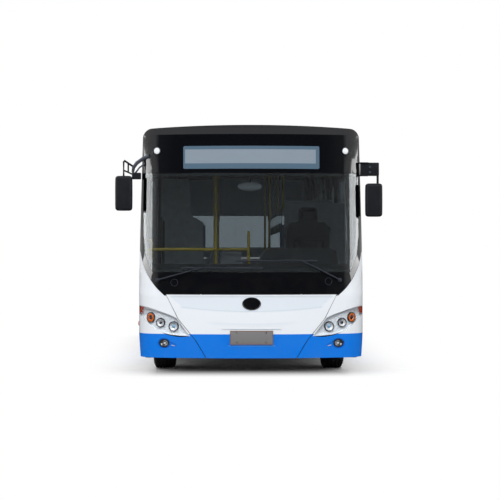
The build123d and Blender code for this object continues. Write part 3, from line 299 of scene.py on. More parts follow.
def put(tree, kind, inputs=None, **settings):
    made = tree.nodes.new(kind)
    for key, value in settings.items():
        setattr(made, key, value)
    feed(tree, made, inputs or {})
    return made


def blend_colour(tree, factor, a, b, blend="MIX"):
    return put(tree, "ShaderNodeMix", {0: factor, 6: a, 7: b}, data_type="RGBA", blend_type=blend).outputs[2]


def ramp(value, low, high, out_low=0.0, out_high=1.0):
    ends = {"Value": value, "From Min": low, "From Max": high, "To Min": out_low, "To Max": out_high}
    made = put(value.socket.id_data, "ShaderNodeMapRange", ends, interpolation_type="SMOOTHSTEP")
    return Field(made.outputs["Result"])


def object_place(tree):
    return put(tree, "ShaderNodeTexCoord").outputs["Object"]


def split(tree, vector):
    return [Field(socket) for socket in put(tree, "ShaderNodeSeparateXYZ", {0: vector}).outputs]


def noise(tree, place, scale, detail=3.0, roughness=0.5):
    made = put(tree, "ShaderNodeTexNoise", {"Vector": place, "Scale": scale, "Detail": detail,
                                            "Roughness": roughness})
    return Field(made.outputs["Fac"])


def cells(tree, place, scale, **inputs):
    made = put(tree, "ShaderNodeTexVoronoi", {"Vector": place, "Scale": scale, **inputs})
    return Field(made.outputs["Distance"])


def stretched(tree, place, scale):
    return put(tree, "ShaderNodeMapping", {"Vector": place, "Scale": scale}).outputs[0]


def new_group(name, inputs, outputs):
    group = bpy.data.node_groups.new(name, "ShaderNodeTree")
    for label, kind, value in inputs:
        socket = group.interface.new_socket(label, in_out="INPUT", socket_type="NodeSocket" + kind)
        socket.default_value = value
    for label, kind in outputs:
        group.interface.new_socket(label, in_out="OUTPUT", socket_type="NodeSocket" + kind)
    return group, group.nodes.new("NodeGroupInput").outputs, object_place(group)


def close_group(group, results):
    feed(group, group.nodes.new("NodeGroupOutput"), results)
    return group


def make_road_dust():
    """Dust thrown up from the road: thick near the ground, gone at the given height."""
    group, given, place = new_group(
        "Road dust", (("Color", "Color", (1, 1, 1, 1)), ("Dust", "Color", (0.3, 0.27, 0.23, 1)),
                      ("Amount", "Float", 0.3), ("Height", "Float", 0.9)),
        (("Color", "Color"), ("Mask", "Float")))
    height = split(group, place)[2]
    share = (1.0 - height.to("DIVIDE", given["Height"])).to("MAXIMUM")
    mask = share * ramp(noise(group, place, 9.0, 6.0, 0.65), 0.3, 0.75) * given["Amount"]
    return close_group(group, {"Mask": mask, "Color": blend_colour(group, mask, given["Color"],
                                                                   given["Dust"])})


def make_moulded_grain():
    """Pebbled grain of moulded plastic and rubber, with a slight drift of colour."""
    group, given, place = new_group(
        "Moulded grain", (("Color", "Color", (0.1, 0.1, 0.1, 1)), ("Scale", "Float", 400.0),
                          ("Drift", "Float", 0.15)),
        (("Color", "Color"), ("Height", "Float"), ("Roughness", "Float")))
    cloud = noise(group, place, 14.0, 5.0, 0.6)
    shade = (cloud - 0.5) * given["Drift"] + 0.5
    lighter = blend_colour(group, shade, (0, 0, 0, 1), (2, 2, 2, 1))
    return close_group(group, {"Color": blend_colour(group, 1.0, given["Color"], lighter, "MULTIPLY"),
                               "Height": cells(group, place, given["Scale"]),
                               "Roughness": ramp(cloud, 0.2, 0.8, -0.06, 0.08)})


def make_handling_wear():
    """Fine scratches and rubbed patches that show a paler or barer colour."""
    group, given, place = new_group(
        "Handling wear", (("Color", "Color", (0.5, 0.5, 0.5, 1)), ("Bare", "Color", (0.7, 0.7, 0.7, 1)),
                          ("Amount", "Float", 0.3), ("Scale", "Float", 30.0)),
        (("Color", "Color"), ("Mask", "Float")))
    lines = ramp(noise(group, stretched(group, place, (1.0, 1.0, 9.0)), given["Scale"], 8.0, 0.75), 0.62,
                 0.72)
    mask = lines * ramp(noise(group, place, 5.0, 4.0), 0.45, 0.65) * given["Amount"]
    return close_group(group, {"Mask": mask, "Color": blend_colour(group, mask, given["Color"],
                                                                   given["Bare"])})


ROAD_DUST = make_road_dust()
MOULDED_GRAIN = make_moulded_grain()
HANDLING_WEAR = make_handling_wear()


def use_group(tree, group, inputs):
    return put(tree, "ShaderNodeGroup", inputs, node_tree=group).outputs


def new_finish(name):
    """A new material with its node tree and the place in the object's own frame."""
    material = bpy.data.materials.new(name)
    material.use_nodes = True
    tree = material.node_tree
    tree.nodes.clear()
    return material, tree, object_place(tree)


def close_finish(material, shader):
    put(material.node_tree, "ShaderNodeOutputMaterial", {"Surface": shader.outputs[0]})
    return material


def principled(material, inputs):
    return close_finish(material, put(material.node_tree, "ShaderNodeBsdfPrincipled", inputs))


def bump(tree, height, strength, distance=0.001):
    return put(tree, "ShaderNodeBump", {"Height": height, "Strength": strength,
                                        "Distance": distance}).outputs[0]


def opaque(value):
    return (*value, 1.0)


# Colours of the enamel
WHITE = (0.86, 0.9, 0.95)
BLUE = (0.0, 0.2, 0.82)
# Painted shade: the roof top's white turned grey to hold back the overhead softbox's light
ROOF_PAINTED_SHADE = (0.62, 0.64, 0.67)
REBATE_BLACK = (0.012, 0.013, 0.015)
LINING_GREY = (0.42, 0.43, 0.44)


def paint_hood_shade_and_highlights(tree, colour, x, y, z):
    """Painted shade in the flap's crescent, along its edge, on the crease below it and on the plate's top
    ledge, and a painted highlight on the plate's bottom ledge.
    """
    front = y < -5.0
    across = abs(x)
    square = across * across
    over_brow = z - (square * 0.080 + 0.811)
    inside_end = z - (across - 0.758) * 0.844 - 0.857
    brow = front * ramp(over_brow, -0.002, 0.006) * ramp(inside_end, -0.002, 0.006) * ramp(z, 0.978, 0.984,
                                                                                           1.0, 0.0)
    edge = front * ramp(over_brow, -0.016, 0.0) * ramp(over_brow, 0.010, 0.002) * ramp(inside_end, -0.03, 0.0)
    under = z - (square * 0.10 + 0.675)
    crease = front * ramp(under, -0.05, 0.0) * ramp(under, 0.012, 0.0) * ramp(across, 0.55, 0.35)
    painted_tones = [(brow * 0.22, (0.5, 0.62, 0.76)), (edge * 0.3, (0.42, 0.52, 0.62)),
             (crease * 0.13, (0.45, 0.55, 0.66))]
    for ledge_z, half, tone in ((0.616, 0.33, (0.55, 0.63, 0.72)), (0.438, 0.268, (0.2, 0.52, 0.92))):
        ledge = front * ramp(abs(z - ledge_z), 0.007, 0.002) * ramp(across, half, half - 0.03)
        painted_tones.append((ledge * 0.6, tone))
    for share, tone in painted_tones:
        colour = blend_colour(tree, share, colour, opaque(tone))
    return colour


def paint_finish():
    """Coach enamel: blue below the line, white above, painted shade on the roof top, black in the glass
    rebates, grey inside.
    """
    material, tree, place = new_finish("coach enamel")
    x, y, z = split(tree, place)
    lean = (z - WAIST_Z).to("MAXIMUM") * ((1.25 - EAVE_HALF) / (EAVE_Z - WAIST_Z))
    depth = 1.25 - lean - abs(x)
    midships = abs(y - 0.09) < 4.95
    rebates = (z > 1.178) * (z < 2.727) * midships * (depth > 0.004)
    roof_middle = 2.845 - x * x * 0.0448
    lining = (depth > 0.036) * midships * (z < roof_middle)
    colour = blend_colour(tree, z > SPLIT_Z, opaque(BLUE), opaque(WHITE))
    # Above z 2.79 the white fades into painted shade on the roof top
    for share, tone in ((ramp(z, 2.79, 2.84), ROOF_PAINTED_SHADE), (rebates, REBATE_BLACK), (lining, LINING_GREY)):
        colour = blend_colour(tree, share, colour, opaque(tone))
    # Painted shade on the hood's crescent and crease, and painted shade and highlight lines on the plate's
    # ledges
    colour = paint_hood_shade_and_highlights(tree, colour, x, y, z)
    dust = use_group(tree, ROAD_DUST, {"Color": colour, "Amount": 0.05, "Height": 0.8})
    patch = noise(tree, place, 2.5)
    return principled(material, {
        "Base Color": dust["Color"], "Roughness": ramp(patch, 0.3, 0.7, 0.16,
                                                       0.24) + Field(dust["Mask"]) * 0.5,
        "Coat Weight": 0.2, "Coat Roughness": 0.05,
        "Normal": bump(tree, noise(tree, place, 160.0, 2.0), 0.03)})


def gloss_black_finish():
    material, tree, place = new_finish("black nose glass")
    wear = use_group(tree, HANDLING_WEAR, {"Color": (0.0035, 0.004, 0.0055, 1),
                                           "Bare": (0.02, 0.022, 0.025, 1),
                                           "Amount": 0.25, "Scale": 60.0})
    dust = use_group(tree, ROAD_DUST, {"Color": wear["Color"], "Amount": 0.03, "Height": 1.8})
    return principled(material, {
        "Base Color": dust["Color"], "Roughness": ramp(noise(tree, place, 3.0, 4.0), 0.3, 0.7, 0.05, 0.09),
        "Coat Weight": 0.3, "Coat Roughness": 0.03, "Specular IOR Level": 0.4})


def glass_finish(name, tint, film=0.02):
    """Sheet glass with a little road film; shadows pass through it."""
    material, tree, place = new_finish(name)
    smear = ramp(noise(tree, place, 6.0, 5.0, 0.6), 0.4, 0.8, 0.0, film)
    shader = put(tree, "ShaderNodeBsdfPrincipled", {
        "Base Color": opaque(tint), "Roughness": smear, "IOR": 1.45, "Transmission Weight": 1.0})
    clear = put(tree, "ShaderNodeBsdfTransparent", {"Color": opaque(tint)})
    shadow = put(tree, "ShaderNodeLightPath").outputs["Is Shadow Ray"]
    return close_finish(material, put(tree, "ShaderNodeMixShader", {0: shadow, 1: shader.outputs[0],
                                                                    2: clear.outputs[0]}))


def moulded_finish(name, colour, roughness, grain=350.0, strength=0.15, dust=0.12, drift=0.25):
    material, tree, place = new_finish(name)
    grains = use_group(tree, MOULDED_GRAIN, {"Color": opaque(colour), "Scale": grain, "Drift": drift})
    dusty = use_group(tree, ROAD_DUST, {"Color": grains["Color"], "Amount": dust, "Height": 1.0})
    return principled(material, {
        "Base Color": dusty["Color"], "Roughness": Field(grains["Roughness"]) + roughness + dusty["Mask"],
        "Normal": bump(tree, grains["Height"], strength)})


def metal_finish(name, colour, roughness, metallic=1.0, wear=0.2, bare=(0.7, 0.7, 0.7), coat=0.0):
    material, tree, place = new_finish(name)
    worn = use_group(tree, HANDLING_WEAR, {"Color": opaque(colour), "Bare": opaque(bare), "Amount": wear})
    return principled(material, {
        "Base Color": worn["Color"], "Metallic": metallic, "Coat Weight": coat,
        "Roughness": ramp(noise(tree, place, 25.0, 5.0, 0.6), 0.3, 0.7, roughness, roughness + 0.1),
        "Normal": bump(tree, noise(tree, place, 220.0, 2.0), 0.04)})


def lens_finish(name, colour, flutes=0.0):
    """Moulded lamp lens with fine flutes."""
    material, tree, place = new_finish(name)
    inputs = {"Base Color": opaque(colour), "Roughness": ramp(noise(tree, place, 40.0), 0.3, 0.7, 0.04, 0.1),
              "IOR": 1.49, "Transmission Weight": 0.0, "Coat Weight": 0.5}
    if flutes:
        wave = put(tree, "ShaderNodeTexWave", {"Vector": place, "Scale": flutes,
                                               "Distortion": 0.0}).outputs["Fac"]
        inputs["Normal"] = bump(tree, wave, 0.5)
    return principled(material, inputs)


def sign_finish():
    """Blank display: pale pane in a darker frame, with the fine dots of unlit lamps."""
    material, tree, place = new_finish("destination display")
    x, y, z = split(tree, place)
    inner = (abs(x + 0.01) < 0.72) * (abs(z - 2.513) < 0.077)
    dots = ramp(cells(tree, stretched(tree, place, (100.0, 0.0, 100.0)), 1.0, Randomness=0.0), 0.25, 0.4)
    pane = blend_colour(tree, dots, (0.32, 0.38, 0.44, 1), (0.23, 0.28, 0.33, 1))
    drift = noise(tree, place, 2.0)
    pane = blend_colour(tree, drift * 0.5, pane, (0.2, 0.26, 0.32, 1))
    return principled(material, {
        "Base Color": blend_colour(tree, inner, (0.09, 0.15, 0.21, 1), pane),
        "Roughness": ramp(drift, 0.3, 0.7, 0.12, 0.2), "Coat Weight": 1.0, "Coat Roughness": 0.03})


def tyre_finish():
    material, tree, place = new_finish("tyre rubber")
    grains = use_group(tree, MOULDED_GRAIN, {"Color": (0.014, 0.014, 0.015, 1), "Scale": 260.0, "Drift": 0.5})
    patch = ramp(noise(tree, place, 7.0, 6.0, 0.7), 0.45, 0.8, 0.0, 0.4)
    return principled(material, {
        "Base Color": blend_colour(tree, patch, grains["Color"], (0.06, 0.055, 0.05, 1)),
        "Roughness": Field(grains["Roughness"]) + 0.75, "Normal": bump(tree, grains["Height"], 0.25)})


def floor_finish():
    """Speckled rubber floor covering."""
    material, tree, place = new_finish("speckled floor rubber")
    grains = use_group(tree, MOULDED_GRAIN, {"Color": (0.11, 0.12, 0.13, 1), "Scale": 300.0, "Drift": 0.3})
    speckles = cells(tree, place, 150.0) < 0.14
    return principled(material, {
        "Base Color": blend_colour(tree, speckles, grains["Color"], (0.45, 0.46, 0.47, 1)),
        "Roughness": Field(grains["Roughness"]) + 0.6, "Normal": bump(tree, grains["Height"], 0.1)})


PAINT = paint_finish()
BLACK_GLASS = gloss_black_finish()
SCREEN_GLASS = glass_finish("windscreen glass", (0.42, 0.46, 0.48))
SIDE_GLASS = glass_finish("side glass", (0.24, 0.28, 0.3))
LAMP_GLASS = glass_finish("lamp cover", (0.96, 0.97, 0.98), 0.01)
TRIM = moulded_finish("black moulded trim", (0.012, 0.014, 0.018), 0.4)
RUBBER = moulded_finish("black seal rubber", (0.01, 0.01, 0.011), 0.6, 500.0, 0.1)
DASH = moulded_finish("dashboard plastic", (0.014, 0.015, 0.017), 0.6, dust=0.0)
SEAT_SHELL = moulded_finish("blue seat plastic", (0.03, 0.12, 0.34), 0.38, 450.0, 0.08, dust=0.0)
ROOF_SHELL = moulded_finish("roof shell", (0.56, 0.58, 0.6), 0.35, 200.0, 0.03, dust=0.0, drift=0.06)
LINER = moulded_finish("wheel arch liner", (0.03, 0.03, 0.032), 0.75, 120.0, 0.3, dust=0.5)
FRAME_PAINT = metal_finish("chassis paint", (0.03, 0.03, 0.033), 0.5, 0.0, 0.15, (0.12, 0.09, 0.06))
CAST = metal_finish("cast iron", (0.05, 0.05, 0.052), 0.45, 0.6, 0.3, (0.2, 0.15, 0.1))
CHROME = metal_finish("bright reflector", (0.88, 0.89, 0.9), 0.06, 1.0, 0.0)
REFLECTOR = metal_finish("satin reflector", (0.84, 0.86, 0.89), 0.28, 0.35, 0.0)
SILVER = metal_finish("silver bezel", (0.82, 0.86, 0.9), 0.22, 0.0, 0.0, coat=0.3)
MIRROR_TUBE = metal_finish("grey mirror tube", (0.075, 0.085, 0.11), 0.3, 0.3, 0.2)
WIPER_METAL = metal_finish("wiper enamel", (0.03, 0.036, 0.05), 0.35, 0.0, 0.1)
RIM_PAINT = metal_finish("silver wheel paint", (0.5, 0.51, 0.53), 0.32, 0.6, 0.3, (0.25, 0.2, 0.16))
STEEL = metal_finish("brushed steel", (0.55, 0.56, 0.57), 0.3, 1.0, 0.2)
YELLOW = metal_finish("yellow rail enamel", (0.62, 0.42, 0.005), 0.28, 0.0, 0.25, (0.35, 0.25, 0.05),
                      coat=0.4)
PARTITION = moulded_finish("partition laminate", (0.4, 0.42, 0.44), 0.35, 600.0, 0.03, dust=0.0)
FARE = metal_finish("fare box enamel", (0.35, 0.37, 0.4), 0.35, 0.0, 0.2)
TYRE = tyre_finish()
FLOOR_RUBBER = floor_finish()
SIGN = sign_finish()
AMBER = lens_finish("amber lens", (0.9, 0.18, 0.01), 60.0)
RED_ORANGE = lens_finish("side marker lens", (0.85, 0.08, 0.01), 40.0)
RED = lens_finish("red lens", (0.5, 0.01, 0.008), 55.0)
CLEAR_LENS = lens_finish("projector lens", (0.7, 0.76, 0.82))
WHITE_LENS = lens_finish("white lens", (0.86, 0.89, 0.92), 30.0)
BLUE_LENS = lens_finish("blue tinted lens", (0.2, 0.42, 0.62))
DARK_LENS = lens_finish("dark lamp centre", (0.02, 0.02, 0.03))
PLATE_GREY = metal_finish("blank plate", (0.21, 0.205, 0.205), 0.4, 0.0, 0.25, (0.15, 0.15, 0.15))
PLATE_EDGE = metal_finish("plate frame", (0.3, 0.2, 0.16), 0.35, 0.3, 0.2)
CUSHION = moulded_finish("driver cushion cloth", (0.016, 0.017, 0.021), 0.9, 700.0, 0.4, dust=0.0)

SLOT_FINISHES = {
    "body_white": PAINT, "body_blue": PAINT, "mask_black": BLACK_GLASS, "glass": SIDE_GLASS,
    "roof_shell": ROOF_SHELL,
    "door_frame": TRIM, "sign": SIGN, "lamp_clear": CLEAR_LENS, "lamp_red": RED, "trim_black": TRIM,
    "seat_dark": CUSHION, "seat_blue": SEAT_SHELL, "fare_box": FARE, "rail_yellow": YELLOW,
    "partition": PARTITION,
    "floor": FLOOR_RUBBER, "frame": FRAME_PAINT, "engine": CAST, "axle": CAST, "bellows": RUBBER,
    "liner": LINER,
    "tyre": TYRE, "rim": RIM_PAINT,
}
OWN_FINISHES = {"windscreen": SCREEN_GLASS, "dashboard": DASH, "rear_lamps": BLACK_GLASS}


def finish_nodes():
    for part in frame["record"]["subparts"]:
        name = part["node"]
        finish = OWN_FINISHES.get(name, SLOT_FINISHES[part["material_slot"]])
        for held in nodes[name].material_slots:
            held.material = finish


# Camera, light and floor


CAMERA_PLACE = (-0.242, -20.25, 1.483)
CAMERA_LENS = 99.07
CAMERA_TURN = -0.858


def make_camera():
    data = bpy.data.cameras.new("front camera")
    data.lens = CAMERA_LENS
    data.sensor_width = 36
    data.clip_end = 400
    camera = bpy.data.objects.new("front camera", data)
    camera.location = CAMERA_PLACE
    camera.rotation_euler = (math.radians(90), 0, math.radians(CAMERA_TURN))
    bpy.context.collection.objects.link(camera)
    bpy.context.scene.camera = camera


# Light of the sky on everything but gloss
SKY_LEVEL = 0.62


def make_sky():
    """White to the eye; to gloss it is a pale hall that is dark ahead of the bus."""
    world = bpy.data.worlds.new("studio")
    bpy.context.scene.world = world
    world.use_nodes = True
    tree = world.node_tree
    tree.nodes.clear()
    direction = put(tree, "ShaderNodeTexCoord").outputs["Generated"]
    x, y, z = split(tree, direction)
    ahead = ramp(y * -1.0, 0.62, 0.9)
    low = ramp(z, 0.5, 0.8, 1.0, 0.0)
    dark = (ahead * low).to("MAXIMUM", ramp(z, 0.7, 0.9, 0.0, 0.85))
    path = put(tree, "ShaderNodeLightPath").outputs
    seen = Field(path["Is Camera Ray"]).to("MAXIMUM", path["Is Transmission Ray"])
    level = blend_colour(tree, path["Is Glossy Ray"], opaque((SKY_LEVEL,) * 3), 0.8 - dark * 0.79)
    level = blend_colour(tree, seen, level, (1, 1, 1, 1))
    background = put(tree, "ShaderNodeBackground", {"Color": level, "Strength": 1.0})
    put(tree, "ShaderNodeOutputWorld", {"Surface": background.outputs[0]})


def make_lamp(name, place, aim, size, power):
    data = bpy.data.lights.new(name, "AREA")
    data.shape = "RECTANGLE"
    data.size, data.size_y = size
    data.energy = power
    lamp = bpy.data.objects.new(name, data)
    lamp.location = place
    lamp.rotation_euler = (Vector(aim) - Vector(place)).to_track_quat("-Z", "Y").to_euler()
    bpy.context.collection.objects.link(lamp)
    return lamp


def make_floor():
    """Floor that takes the shadow close to the bus and runs out into plain white."""
    bm = bmesh.new()
    bmesh.ops.create_grid(bm, x_segments=4, y_segments=4, size=120)
    mesh = bpy.data.meshes.new("studio floor")
    bm.to_mesh(mesh)
    bm.free()
    floor = bpy.data.objects.new("studio floor", mesh)
    bpy.context.collection.objects.link(floor)
    material, tree, place = new_finish("studio floor")
    x, y, z = split(tree, place)
    past_side, past_end = (abs(x) - 1.2).to("MAXIMUM"), (abs(y) - 3.2).to("MAXIMUM")
    distance = (past_side * past_side + past_end * past_end).to("SQRT")
    path = put(tree, "ShaderNodeLightPath").outputs
    colour = blend_colour(tree, path["Is Camera Ray"], (0.6, 0.6, 0.6, 1), (1, 1, 1, 1))
    colour = blend_colour(tree, path["Is Glossy Ray"], colour, (0.04, 0.04, 0.04, 1))
    shadowed = put(tree, "ShaderNodeBsdfDiffuse", {"Color": colour})
    white = put(tree, "ShaderNodeEmission", {"Color": (1, 1, 1, 1), "Strength": 1.0})
    share = ramp(distance, 0.0, 1.1) * path["Is Camera Ray"]
    mixed = put(tree, "ShaderNodeMixShader", {0: share, 1: shadowed.outputs[0], 2: white.outputs[0]})
    mesh.materials.append(close_finish(material, mixed))


def make_studio():
    make_sky()
    make_floor()
    overhead = make_lamp("overhead softbox", (0, -1.0, 9.5), (0, -1.0, 0), (9, 16), 760)
    overhead.visible_glossy = False
    front = make_lamp("front softbox", (-1.0, -15, 10.5), (0, -5, 1.4), (9, 5), 900)
    front.visible_glossy = False
    nose_glass = bpy.data.collections.new("nose glass")
    for name in ("front_mask", "windscreen"):
        nose_glass.objects.link(nodes[name])
    for side, name in ((-1, "left"), (1, "right")):
        strip = make_lamp(name + " corner strip", (side * 7, -5.6, 2.0), (side * 1.1, -5.1, 1.8),
                          (5.5, 2.6), 300)
        strip.visible_diffuse = False
        strip.light_linking.receiver_collection = nose_glass


# Lamps of the nose


LAMP_OUTLINE_X = ((1.25, 0.868), (1.19, 0.856), (1.1, 0.838), (1.01, 0.815), (0.91, 0.783), (0.822, 0.742),
                  (0.76, 0.659), (0.672, 0.541), (0.78, 0.545), (0.88, 0.554), (0.98, 0.576), (1.05, 0.605),
                  (1.12, 0.654), (1.19, 0.736), (1.25, 0.772))
# Cups of a headlamp: x, height, radius
LAMP_CUPS = ((1.118, 0.741, 0.047), (1.003, 0.686, 0.042), (0.857, 0.645, 0.046))


def grown(outline, way):
    """The outline moved outwards by way, corner by corner."""
    count = len(outline)
    area = sum(outline[k - 1][0] * outline[k][1] - outline[k][0] * outline[k - 1][1] for k in range(count))
    sign = 1 if area > 0 else -1
    result = []
    for k in range(count):
        before, here, after = (Vector(outline[(k + d) % count]) for d in (-1, 0, 1))
        a, b = (here - before).normalized(), (after - here).normalized()
        out = Vector((a.y + b.y, -a.x - b.x)).normalized() * sign
        result.append(tuple(here + out * way / max(out.dot(Vector((a.y, -a.x)) * sign), 0.4)))
    return result


def nose_ring(bm, outline, width, near, far):
    """Narrow frame inside an outline on the nose."""
    inner = grown(outline, -width)
    count = len(outline)
    corners = []
    for (s0, z0), (s1, z1) in zip(outline, inner):
        places = ((s0, near, z0), (s1, near, z1), (s1, far, z1), (s0, far, z0))
        corners.append([bm.verts.new(place) for place in places])
    for k in range(count):
        here, after = corners[k], corners[(k + 1) % count]
        for j in range(4):
            bm.faces.new((here[j], here[(j + 1) % 4], after[(j + 1) % 4], after[j]))


def make_headlamps():
    covers, bezels, rims, cups, ambers, markers = new_meshes(6)
    centres = dict(zip(("dark", "blue", "amber"), new_meshes(3)))
    for side in (-1, 1):
        outline = [(side * way_at(x), z) for x, z in LAMP_OUTLINE_X]
        outline[0] = (side * NOSE_END, 0.868)
        outline[-1] = (side * NOSE_END, 0.771)
        slab(covers, grown(outline, -0.003), 0.001, 0.004, 0.03)
        slab(bezels, grown(outline, -0.004), 0.032, 0.037, 0.03)
        nose_ring(bezels, outline, 0.004, 0.0, 0.034)
        slab(markers, [(side * way_at(1.238), 0.785), (side * (NOSE_END - 0.006), 0.79),
                       (side * (NOSE_END - 0.006), 0.862), (side * way_at(1.212), 0.856)], 0.006, 0.03, 0.03)
        for (x, z, r), kind in zip(LAMP_CUPS, ("amber", "dark", "blue")):
            centre = Vector((side * way_at(x), 0.0, z))
            rim = ((0.008, r), (0.006, r + 0.004), (0.010, r + 0.009), (0.032, r + 0.010), (0.032, r - 0.001),
                   (0.012, r - 0.001))
            spin(rims, rim, centre, (0, 1, 0), 40, closed=True)
            dish = [(0.012, r - 0.001), (0.018, r * 0.86), (0.024, r * 0.62), (0.027, r * 0.4)]
            spin(cups, dish, centre, (0, 1, 0), 40)
            big = 0.6 if kind == "amber" else 0.42
            dome = [(0.028, r * big)]
            for k in range(1, 7):
                angle = k / 6 * math.pi / 2
                dome.append((0.028 - math.sin(angle) * r * 0.32, r * big * math.cos(angle)))
            spin(centres[kind], dome, centre, (0, 1, 0), 32)
            if kind == "amber":
                spin(ambers, ((0.010, r * 0.98), (0.009, r * 0.62), (0.016, r * 0.6)), centre, (0, 1, 0), 40)
    wrap_on_nose(covers, bezels, rims, cups, ambers, markers, *centres.values())
    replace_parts(piece("headlamp_covers", covers, LAMP_GLASS, "lamp_clear"), "headlamps")
    piece("headlamp_bezels", bezels, SILVER, "lamp_clear")
    piece("headlamp_rims", rims, TRIM, "trim_black")
    piece("headlamp_reflectors", cups, REFLECTOR, "lamp_clear")
    piece("indicator_rings", ambers, AMBER, "lamp_clear")
    piece("corner_markers", markers, RED_ORANGE, "lamp_clear")
    piece("dip_lamp_centres", centres["dark"], DARK_LENS, "lamp_clear")
    piece("main_lamp_centres", centres["blue"], BLUE_LENS, "lamp_clear")
    piece("indicator_centres", centres["amber"], DARK_LENS, "lamp_clear")


def make_fog_lamps():
    surrounds, cups, lenses, tail_highlights = new_meshes(4)
    surround = ((0.0, 0.046), (-0.001, 0.05), (0.002, 0.056), (0.03, 0.056), (0.03, 0.046), (0.006, 0.043))
    cup = ((0.007, 0.0435), (0.012, 0.036), (0.024, 0.026), (0.030, 0.0))
    bulb = ((0.026, 0.016), (0.02, 0.014), (0.017, 0.008), (0.016, 0.0))
    for side in (-1, 1):
        centre = (side * way_at(0.958), 0.0, 0.46)
        for bm, profile in ((surrounds, surround), (cups, cup), (lenses, bulb)):
            spin(bm, profile, centre, (0, 1, 0), 40, closed=bm is surrounds, flat=(2, 0.78))
        # Pale satin slab in the tail of each fog lamp recess: a painted highlight
        tail = ((0.838, 0.432), (0.872, 0.444), (0.886, 0.436), (0.846, 0.427))
        slab(tail_highlights, [(side * way_at(x), z) for x, z in tail], 0.0085, 0.0115)
    wrap_on_nose(surrounds, cups, lenses, tail_highlights)
    piece("fog_lamp_tail_highlights", tail_highlights, REFLECTOR, "lamp_clear")
    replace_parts(piece("fog_lamp_surrounds", surrounds, TRIM, "trim_black"), "fog_lamps")
    piece("fog_lamp_reflectors", cups, CHROME, "lamp_clear")
    piece("fog_lamp_bulbs", lenses, CLEAR_LENS, "lamp_clear")


def make_marker_lamps():
    rings, lenses = new_meshes(2)
    ring = ((0.0, 0.037), (-0.004, 0.040), (-0.002, 0.0455), (0.03, 0.0455), (0.03, 0.036), (0.004, 0.036))
    lens = ((0.006, 0.036), (0.0, 0.034), (-0.004, 0.024), (-0.006, 0.012), (-0.0065, 0.0))
    for side in (-1, 1):
        centre = (side * way_at(1.045), 0.0, 2.58)
        spin(rings, ring, centre, (0, 1, 0), 40, closed=True)
        spin(lenses, lens, centre, (0, 1, 0), 40)
    wrap_on_nose(rings, lenses)
    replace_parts(piece("marker_lamp_rings", rings, TRIM, "trim_black"), "marker_lamps")
    piece("marker_lamp_lenses", lenses, WHITE_LENS, "lamp_clear")


# Nose fittings


def oval(half_s, half_z, centre, count=40):
    angles = [math.tau * k / count for k in range(count)]
    return [(centre[0] + half_s * math.cos(angle), centre[1] + half_z * math.sin(angle)) for angle in angles]


def make_badge():
    """Blank oval badge in the crescent recess."""
    rim, face = new_meshes(2)
    edge = oval(0.103, 0.071, (0, 0.896))
    nose_ring(rim, edge, 0.010, 0.0005, 0.006)
    slab(face, grown(edge, -0.009), 0.002, 0.006, 0.03)
    wrap_on_nose(rim, face)
    piece("blank_badge_rim", rim, CHROME, "lamp_clear", "front_flap", bevel=0.001)
    piece("blank_badge", face, BLACK_GLASS, "mask_black", "front_flap", bevel=0.0008)


PLATE_LOW_Z = 0.451
PLATE_HIGH_Z = 0.601
PLATE_HALF = 0.234
PLATE_INSET = 0.006
RECESS_DEPTH = 0.0068


def make_plate():
    """Blank plate: flat in front, its frame and bolts reaching back to the floor of the recess."""
    plate, edge, bolts = new_meshes(3)
    face_y = NOSE_Y + 0.0015
    half = PLATE_HALF - PLATE_INSET
    low, high = PLATE_LOW_Z + PLATE_INSET, PLATE_HIGH_Z - PLATE_INSET
    block(plate, (-half, face_y, low), (half, face_y + 0.002, high), 0.0006, 2)
    count = 12
    xs = [PLATE_HALF * (2 * k / count - 1) for k in range(count + 1)]
    outline = [(x, PLATE_LOW_Z) for x in xs] + [(x, PLATE_HIGH_Z) for x in reversed(xs)]
    nose_ring(edge, outline, 0.009, 0.0, 1.0)
    for vert in edge.verts:
        if vert.co.y > 0.5:
            vert.co.y = nose_place(way_at(vert.co.x), RECESS_DEPTH, vert.co.z).y
        else:
            vert.co.y = NOSE_Y + 0.0004
    for x in (-0.16, 0.16):
        for z in (PLATE_LOW_Z + 0.022, PLATE_HIGH_Z - 0.022):
            back = nose_place(way_at(x), RECESS_DEPTH, z).y - face_y
            spin(bolts, ((back, 0.006), (0.0, 0.007), (-0.0008, 0.007), (-0.0013, 0.004), (-0.0014, 0.0)),
                 (x, face_y, z), (0, 1, 0), 16)
    piece("number_plate", plate, PLATE_GREY, "trim_black", "front_flap")
    piece("number_plate_frame", edge, PLATE_EDGE, "trim_black", "front_flap")
    piece("number_plate_bolts", bolts, STEEL, "trim_black", "front_flap")


def nose_seal(bm, points, half, depth):
    """Seal in a gap of the nose, along a line of (x, z)."""
    fine = []
    for (x0, z0), (x1, z1) in zip(points, points[1:]):
        count = max(int(math.hypot(x1 - x0, z1 - z0) / 0.04), 1)
        fine += [(x0 + (x1 - x0) * k / count, z0 + (z1 - z0) * k / count) for k in range(count)]
    fine.append(points[-1])
    tube(bm, [nose_place(way_at(x), depth, z) for x, z in fine], half, 8)


MASK_EDGE = arc((0.953, 0.984), (1.133, 1.192), (1.228, 1.460), 12)
FLAP_EDGE = ((0.940, 0.998), (0.804, 0.728), (0.614, 0.497), (0.48, 0.322))
FLAP_TOP = ((-0.93, 1.0045), (0.93, 1.0045))


def make_seals():
    seals = bmesh.new()
    for side in (-1, 1):
        nose_seal(seals, [(side * x, z) for x, z in MASK_EDGE], 0.0037, 0.008)
        nose_seal(seals, [(side * x, z) for x, z in FLAP_EDGE], 0.0035, 0.011)
    nose_seal(seals, FLAP_TOP, 0.0032, 0.008)
    piece("nose_seals", seals, RUBBER, "trim_black", sharp=80)


# Wipers: pivot (x, z), arm's end (x, z), blade from x to x, blade's height, x where the arm meets it
WIPERS = (
    ((-1.03, 1.153), (-0.549, 1.287), (-0.77, 0.122), 1.286, -0.33),
    ((0.97, 1.153), (0.543, 1.37), (-0.172, 0.722), 1.366, 0.29),
)


